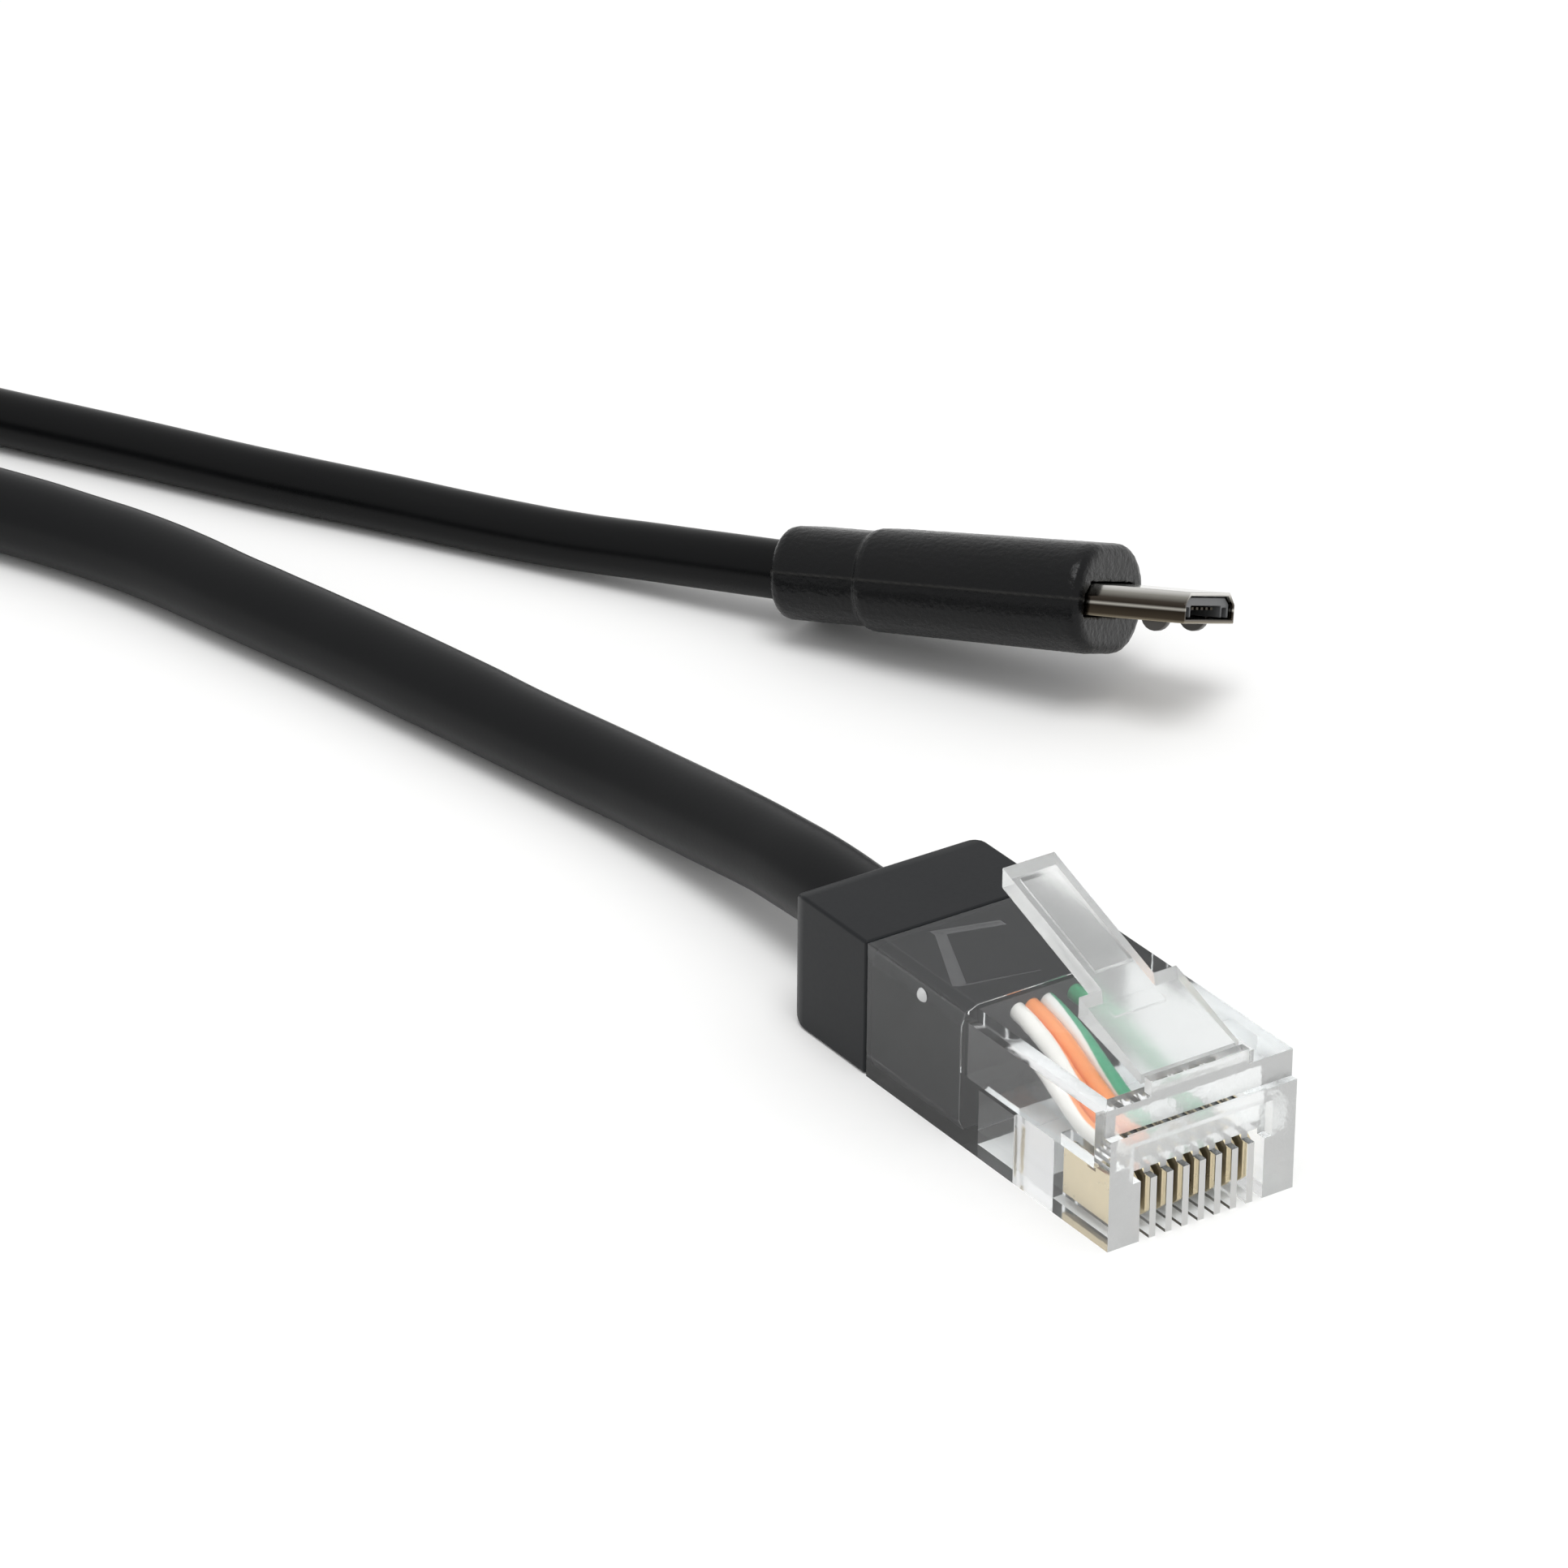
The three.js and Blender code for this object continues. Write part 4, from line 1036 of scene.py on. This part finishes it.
# Sizes of the power plug's pieces, in its own frame
MOULD_EDGE_MM = 0.22
MOULD_SKIN_MM = 0.11
MOULD_SMOOTH_ANGLE = 60.0
PEBBLE_DEPTH_MM = 0.016
PEBBLES_PER_MM = 3.8
PARTING_HEIGHT_MM = 0.04
PARTING_HALF_MM = 0.10
SHELL_HEIGHT_MM = 1.8
SHELL_EDGE_MM = 0.07
INSULATOR_EDGE_MM = 0.06
HOOK_OFFSET_MM = 2.55
HOOK_WIDTH_MM = 0.55
HOOK_THICKNESS_MM = 0.18
HOOK_FLOOR_MM = -0.58
HOOK_ROOT_MM = -5.9
HOOK_BACK_MM = -3.0
HOOK_TIP_MM = -1.25
HOOK_DROP_MM = 0.9
HOOK_STEPS = 10
HOOK_EDGE_MM = 0.07
# The nose's many short edges are flatter than this, so they stay as they are.
HOOK_EDGE_ANGLE = 40.0


class SPLITTER_OT_power_mould(bpy.types.Operator):
    """Build the power plug's pebbled mould with its parting line"""

    bl_idname = "splitter.power_mould"
    bl_label = "Power plug mould"

    def execute(self, context):
        """Round the mould, give it an even skin and pebble it."""
        finish = Finishes.get("mould_plastic")
        mould = softened_copy("power_plug_mould", "power_plug_pebbled_mould", finish,
                              MOULD_EDGE_MM, 3)
        mould = dense_skin(mould, MOULD_SKIN_MM)
        roughen(mould, POWER_FRAME, PEBBLE_DEPTH_MM, PEBBLES_PER_MM, PARTING_HEIGHT_MM,
                PARTING_HALF_MM)
        finish_piece(mould, "splitter", ["power_plug_mould"],
                     MOULD_SMOOTH_ANGLE)
        return {"FINISHED"}


class SPLITTER_OT_power_shell(bpy.types.Operator):
    """Build the power plug's nickel shell with its insulator"""

    bl_idname = "splitter.power_shell"
    bl_label = "Power plug shell"

    def execute(self, context):
        """Round the shell's edges, mark its heights for the painted reflections and fit the
        insulator.
        """
        shell = softened_copy("power_plug_shell", "power_plug_nickel_shell",
                              Finishes.get("nickel_plate"), SHELL_EDGE_MM, 3)
        # The shell's heights carry the painted reflections of the nickel.
        level = shell.data.attributes.new("level", "FLOAT", "POINT")
        inverse = POWER_FRAME.inverted()
        for vertex in shell.data.vertices:
            height = (inverse @ vertex.co).z + SHELL_HEIGHT_MM / 2
            level.data[vertex.index].value = height / SHELL_HEIGHT_MM
        finish_piece(shell, "splitter", ["power_plug_shell"])
        insulator = softened_copy("power_plug_insulator", "power_plug_grey_insulator",
                                  Finishes.get("grey_insulator"), INSULATOR_EDGE_MM)
        finish_piece(insulator, "splitter", ["power_plug_insulator"])
        return {"FINISHED"}


class SPLITTER_OT_power_hooks(bpy.types.Operator):
    """Build the two sprung hooks under the power plug's shell"""

    bl_idname = "splitter.power_hooks"
    bl_label = "Power plug hooks"

    def execute(self, context):
        """Draw a flat spring that ends in a round nose, once for each side."""
        middle = (HOOK_TIP_MM + HOOK_BACK_MM) / 2
        half = (HOOK_TIP_MM - HOOK_BACK_MM) / 2
        nose = [(middle - half * math.cos(turn), HOOK_FLOOR_MM - HOOK_DROP_MM * math.sin(turn))
                for turn in (math.pi * i / HOOK_STEPS for i in range(HOOK_STEPS + 1))]
        top = HOOK_FLOOR_MM + HOOK_THICKNESS_MM
        outline = [(HOOK_ROOT_MM, HOOK_FLOOR_MM), *nose, (HOOK_TIP_MM, top), (HOOK_ROOT_MM, top)]
        for side, place in (("near", -HOOK_OFFSET_MM), ("far", HOOK_OFFSET_MM)):
            shape = slab(outline, place - HOOK_WIDTH_MM / 2, place + HOOK_WIDTH_MM / 2)
            hook = place_shape(shape, "power_plug_spring_" + side, Finishes.get("spring_steel"),
                               POWER_FRAME)
            hook = round_edges(hook, HOOK_EDGE_MM, angle=HOOK_EDGE_ANGLE)
            finish_piece(hook, "hook_" + side, ["power_plug_hook_" + side])
        return {"FINISHED"}


# Node, name, finish, slot and rounding in millimetres
HOUSING_PIECES = (
    ("housing_lower_shell", "housing_lower_half", "housing_plastic", "housing_plastic", 0.12),
    ("housing_upper_shell", "housing_upper_half", "housing_plastic", "housing_plastic", 0.12),
    ("network_socket", "network_socket_block", "socket_plastic", "socket_plastic", 0.12),
    ("circuit_board", "circuit_board_laminate", "board_laminate", "board", 0.1),
    ("network_strain_relief", "network_cord_relief", "boot_plastic", "boot_plastic", 0.14),
    ("power_strain_relief", "power_cord_relief", "boot_plastic", "boot_plastic", 0.14),
)


class SPLITTER_OT_housing(bpy.types.Operator):
    """Build the housing's two shells, the strain reliefs, the socket and the board"""

    bl_idname = "splitter.housing"
    bl_label = "Housing"

    def execute(self, context):
        """Round the edges of each piece of the housing."""
        for node, name, finish, slot, width in HOUSING_PIECES:
            piece = softened_copy(node, name, Finishes.get(finish), width, 3)
            finish_piece(piece, "splitter", [node])
        return {"FINISHED"}


SPRING_EDGE_MM = 0.08


class SPLITTER_OT_socket_springs(bpy.types.Operator):
    """Set the eight gilt springs in the housing's network socket"""

    bl_idname = "splitter.socket_springs"
    bl_label = "Network socket springs"

    def execute(self, context):
        """Round one spring and repeat it across the socket."""
        low, next_low = (Vector(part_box(f"network_socket_contact_{i}")[0]) for i in (1, 2))
        spring = softened_copy("network_socket_contact_1", "network_socket_springs",
                               Finishes.get("gilt_contact"), SPRING_EDGE_MM)
        spring = grow(spring, row_tree(), {"Count": PIN_COUNT, "Step": (next_low - low)[:],
                                           "Plating": Finishes.get("gilt_contact")})
        finish_piece(spring, "splitter",
                     [f"network_socket_contact_{i}" for i in range(1, PIN_COUNT + 1)])
        return {"FINISHED"}


# The CAD nodes that show, by how their names start
NODE_FINISHES = (
    # The power plug's contacts take a painted shade, dark as the slot they sit in.
    ("power_plug_contact", "aged_contact"),
)


class SPLITTER_OT_node_finishes(bpy.types.Operator):
    """Give every CAD node that still shows its finish"""

    bl_idname = "splitter.node_finishes"
    bl_label = "Node finishes"

    def execute(self, context):
        """Put each node's material in the slots of its object."""
        for start, finish in NODE_FINISHES:
            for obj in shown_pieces():
                if obj.name.startswith(start) and "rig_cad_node" in obj:
                    for place in obj.material_slots:
                        place.material = Finishes.get(finish)
        return {"FINISHED"}


PAPER_ROUGHNESS = 0.9


class SPLITTER_OT_stage(bpy.types.Operator):
    """Set the pale floor and the soft light"""

    bl_idname = "splitter.stage"
    bl_label = "Stage"

    def execute(self, context):
        """Make the floor, the overhead softbox and the room's light."""
        given = context.scene.splitter_stage
        half = given.floor_size / 2
        mesh = bpy.data.meshes.new("floor")
        mesh.from_pydata(
            [(-half, -half, 0), (half, -half, 0), (half, half, 0), (-half, half, 0)],
            [], [(0, 1, 2, 3)],
        )
        paper, sheet, shader = new_material("floor_paper", Roughness=PAPER_ROUGHNESS,
                                            Specular_IOR_Level=0.1)
        grain = grained(sheet, (*given.floor_color, 1), PAPER_ROUGHNESS, Shade=0.01,
                        Grain_Scale=900.0)
        sheet.feed(shader, "Base Color", grain["Color"])
        floor = piece_from_mesh("floor", mesh, paper)
        floor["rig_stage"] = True

        light = bpy.data.lights.new("softbox", "AREA")
        light.shape = "SQUARE"
        light.size = given.softbox_size
        light.energy = given.softbox_power
        softbox = bpy.data.objects.new("softbox", light)
        place = Vector(given.softbox_place)
        aim = Vector(context.scene.splitter_camera.target) - place
        softbox.matrix_world = (
            Matrix.Translation(place) @ aim.to_track_quat("-Z", "Y").to_matrix().to_4x4()
        )
        context.scene.collection.objects.link(softbox)

        world = bpy.data.worlds.new("room")
        world.use_nodes = True
        sky = NodeSheet(world.node_tree)
        sky.tree.nodes.clear()
        way = sky.add("ShaderNodeSeparateXYZ",
                      Vector=sky.add("ShaderNodeTexCoord").outputs["Generated"])
        rise = sky.add("ShaderNodeMapRange", Value=way.outputs["Z"], From_Min=0.0,
                       From_Max=0.8, To_Min=given.horizon, To_Max=given.zenith)
        glow = sky.add("ShaderNodeBackground", Color=(1.0, 1.0, 1.0, 1),
                       Strength=rise.outputs[0])
        sky.add("ShaderNodeOutputWorld", Surface=glow.outputs[0])
        context.scene.world = world
        context.scene.view_settings.view_transform = "Standard"
        return {"FINISHED"}


# Panel

class SPLITTER_PT_panel(bpy.types.Panel):
    """The splitter's pieces, in the order in which they are made"""

    bl_idname = "SPLITTER_PT_panel"
    bl_label = "Splitter"
    bl_space_type = "VIEW_3D"
    bl_region_type = "UI"
    bl_category = "Splitter"

    def draw(self, context):
        """List the settings and the operators."""
        for name in SETTINGS:
            box = self.layout.box()
            group = getattr(context.scene, name)
            for label in group.bl_rna.properties.keys():
                if label not in ("rna_type", "name"):
                    box.prop(group, label)
        for operator in OPERATORS:
            self.layout.operator(operator.bl_idname)


SETTINGS = {
    "splitter_camera": SplitterCamera,
    "splitter_stage": SplitterStage,
    "splitter_cords": SplitterCords,
}
OPERATORS = (
    SPLITTER_OT_camera,
    SPLITTER_OT_cords,
    SPLITTER_OT_network_boot,
    SPLITTER_OT_clear_body,
    SPLITTER_OT_latch,
    SPLITTER_OT_plug_wires,
    SPLITTER_OT_plug_blades,
    SPLITTER_OT_power_mould,
    SPLITTER_OT_power_shell,
    SPLITTER_OT_power_hooks,
    SPLITTER_OT_housing,
    SPLITTER_OT_socket_springs,
    SPLITTER_OT_node_finishes,
    SPLITTER_OT_stage,
)


def register():
    """Register every class and hang the settings on the scene."""
    for kind in (*SETTINGS.values(), *OPERATORS, SPLITTER_PT_panel):
        bpy.utils.register_class(kind)
    for name, kind in SETTINGS.items():
        setattr(bpy.types.Scene, name, PointerProperty(type=kind))


def unregister():
    """Take the settings and the classes away again."""
    for name in SETTINGS:
        delattr(bpy.types.Scene, name)
    for kind in reversed((*SETTINGS.values(), *OPERATORS, SPLITTER_PT_panel)):
        bpy.utils.unregister_class(kind)


def main():
    """Build everything in order."""
    register()
    for operator in OPERATORS:
        group, name = operator.bl_idname.split(".")
        if getattr(getattr(bpy.ops, group), name)() != {"FINISHED"}:
            raise RuntimeError(f"{operator.bl_label} was not built")


if __name__ == "__main__":
    main()
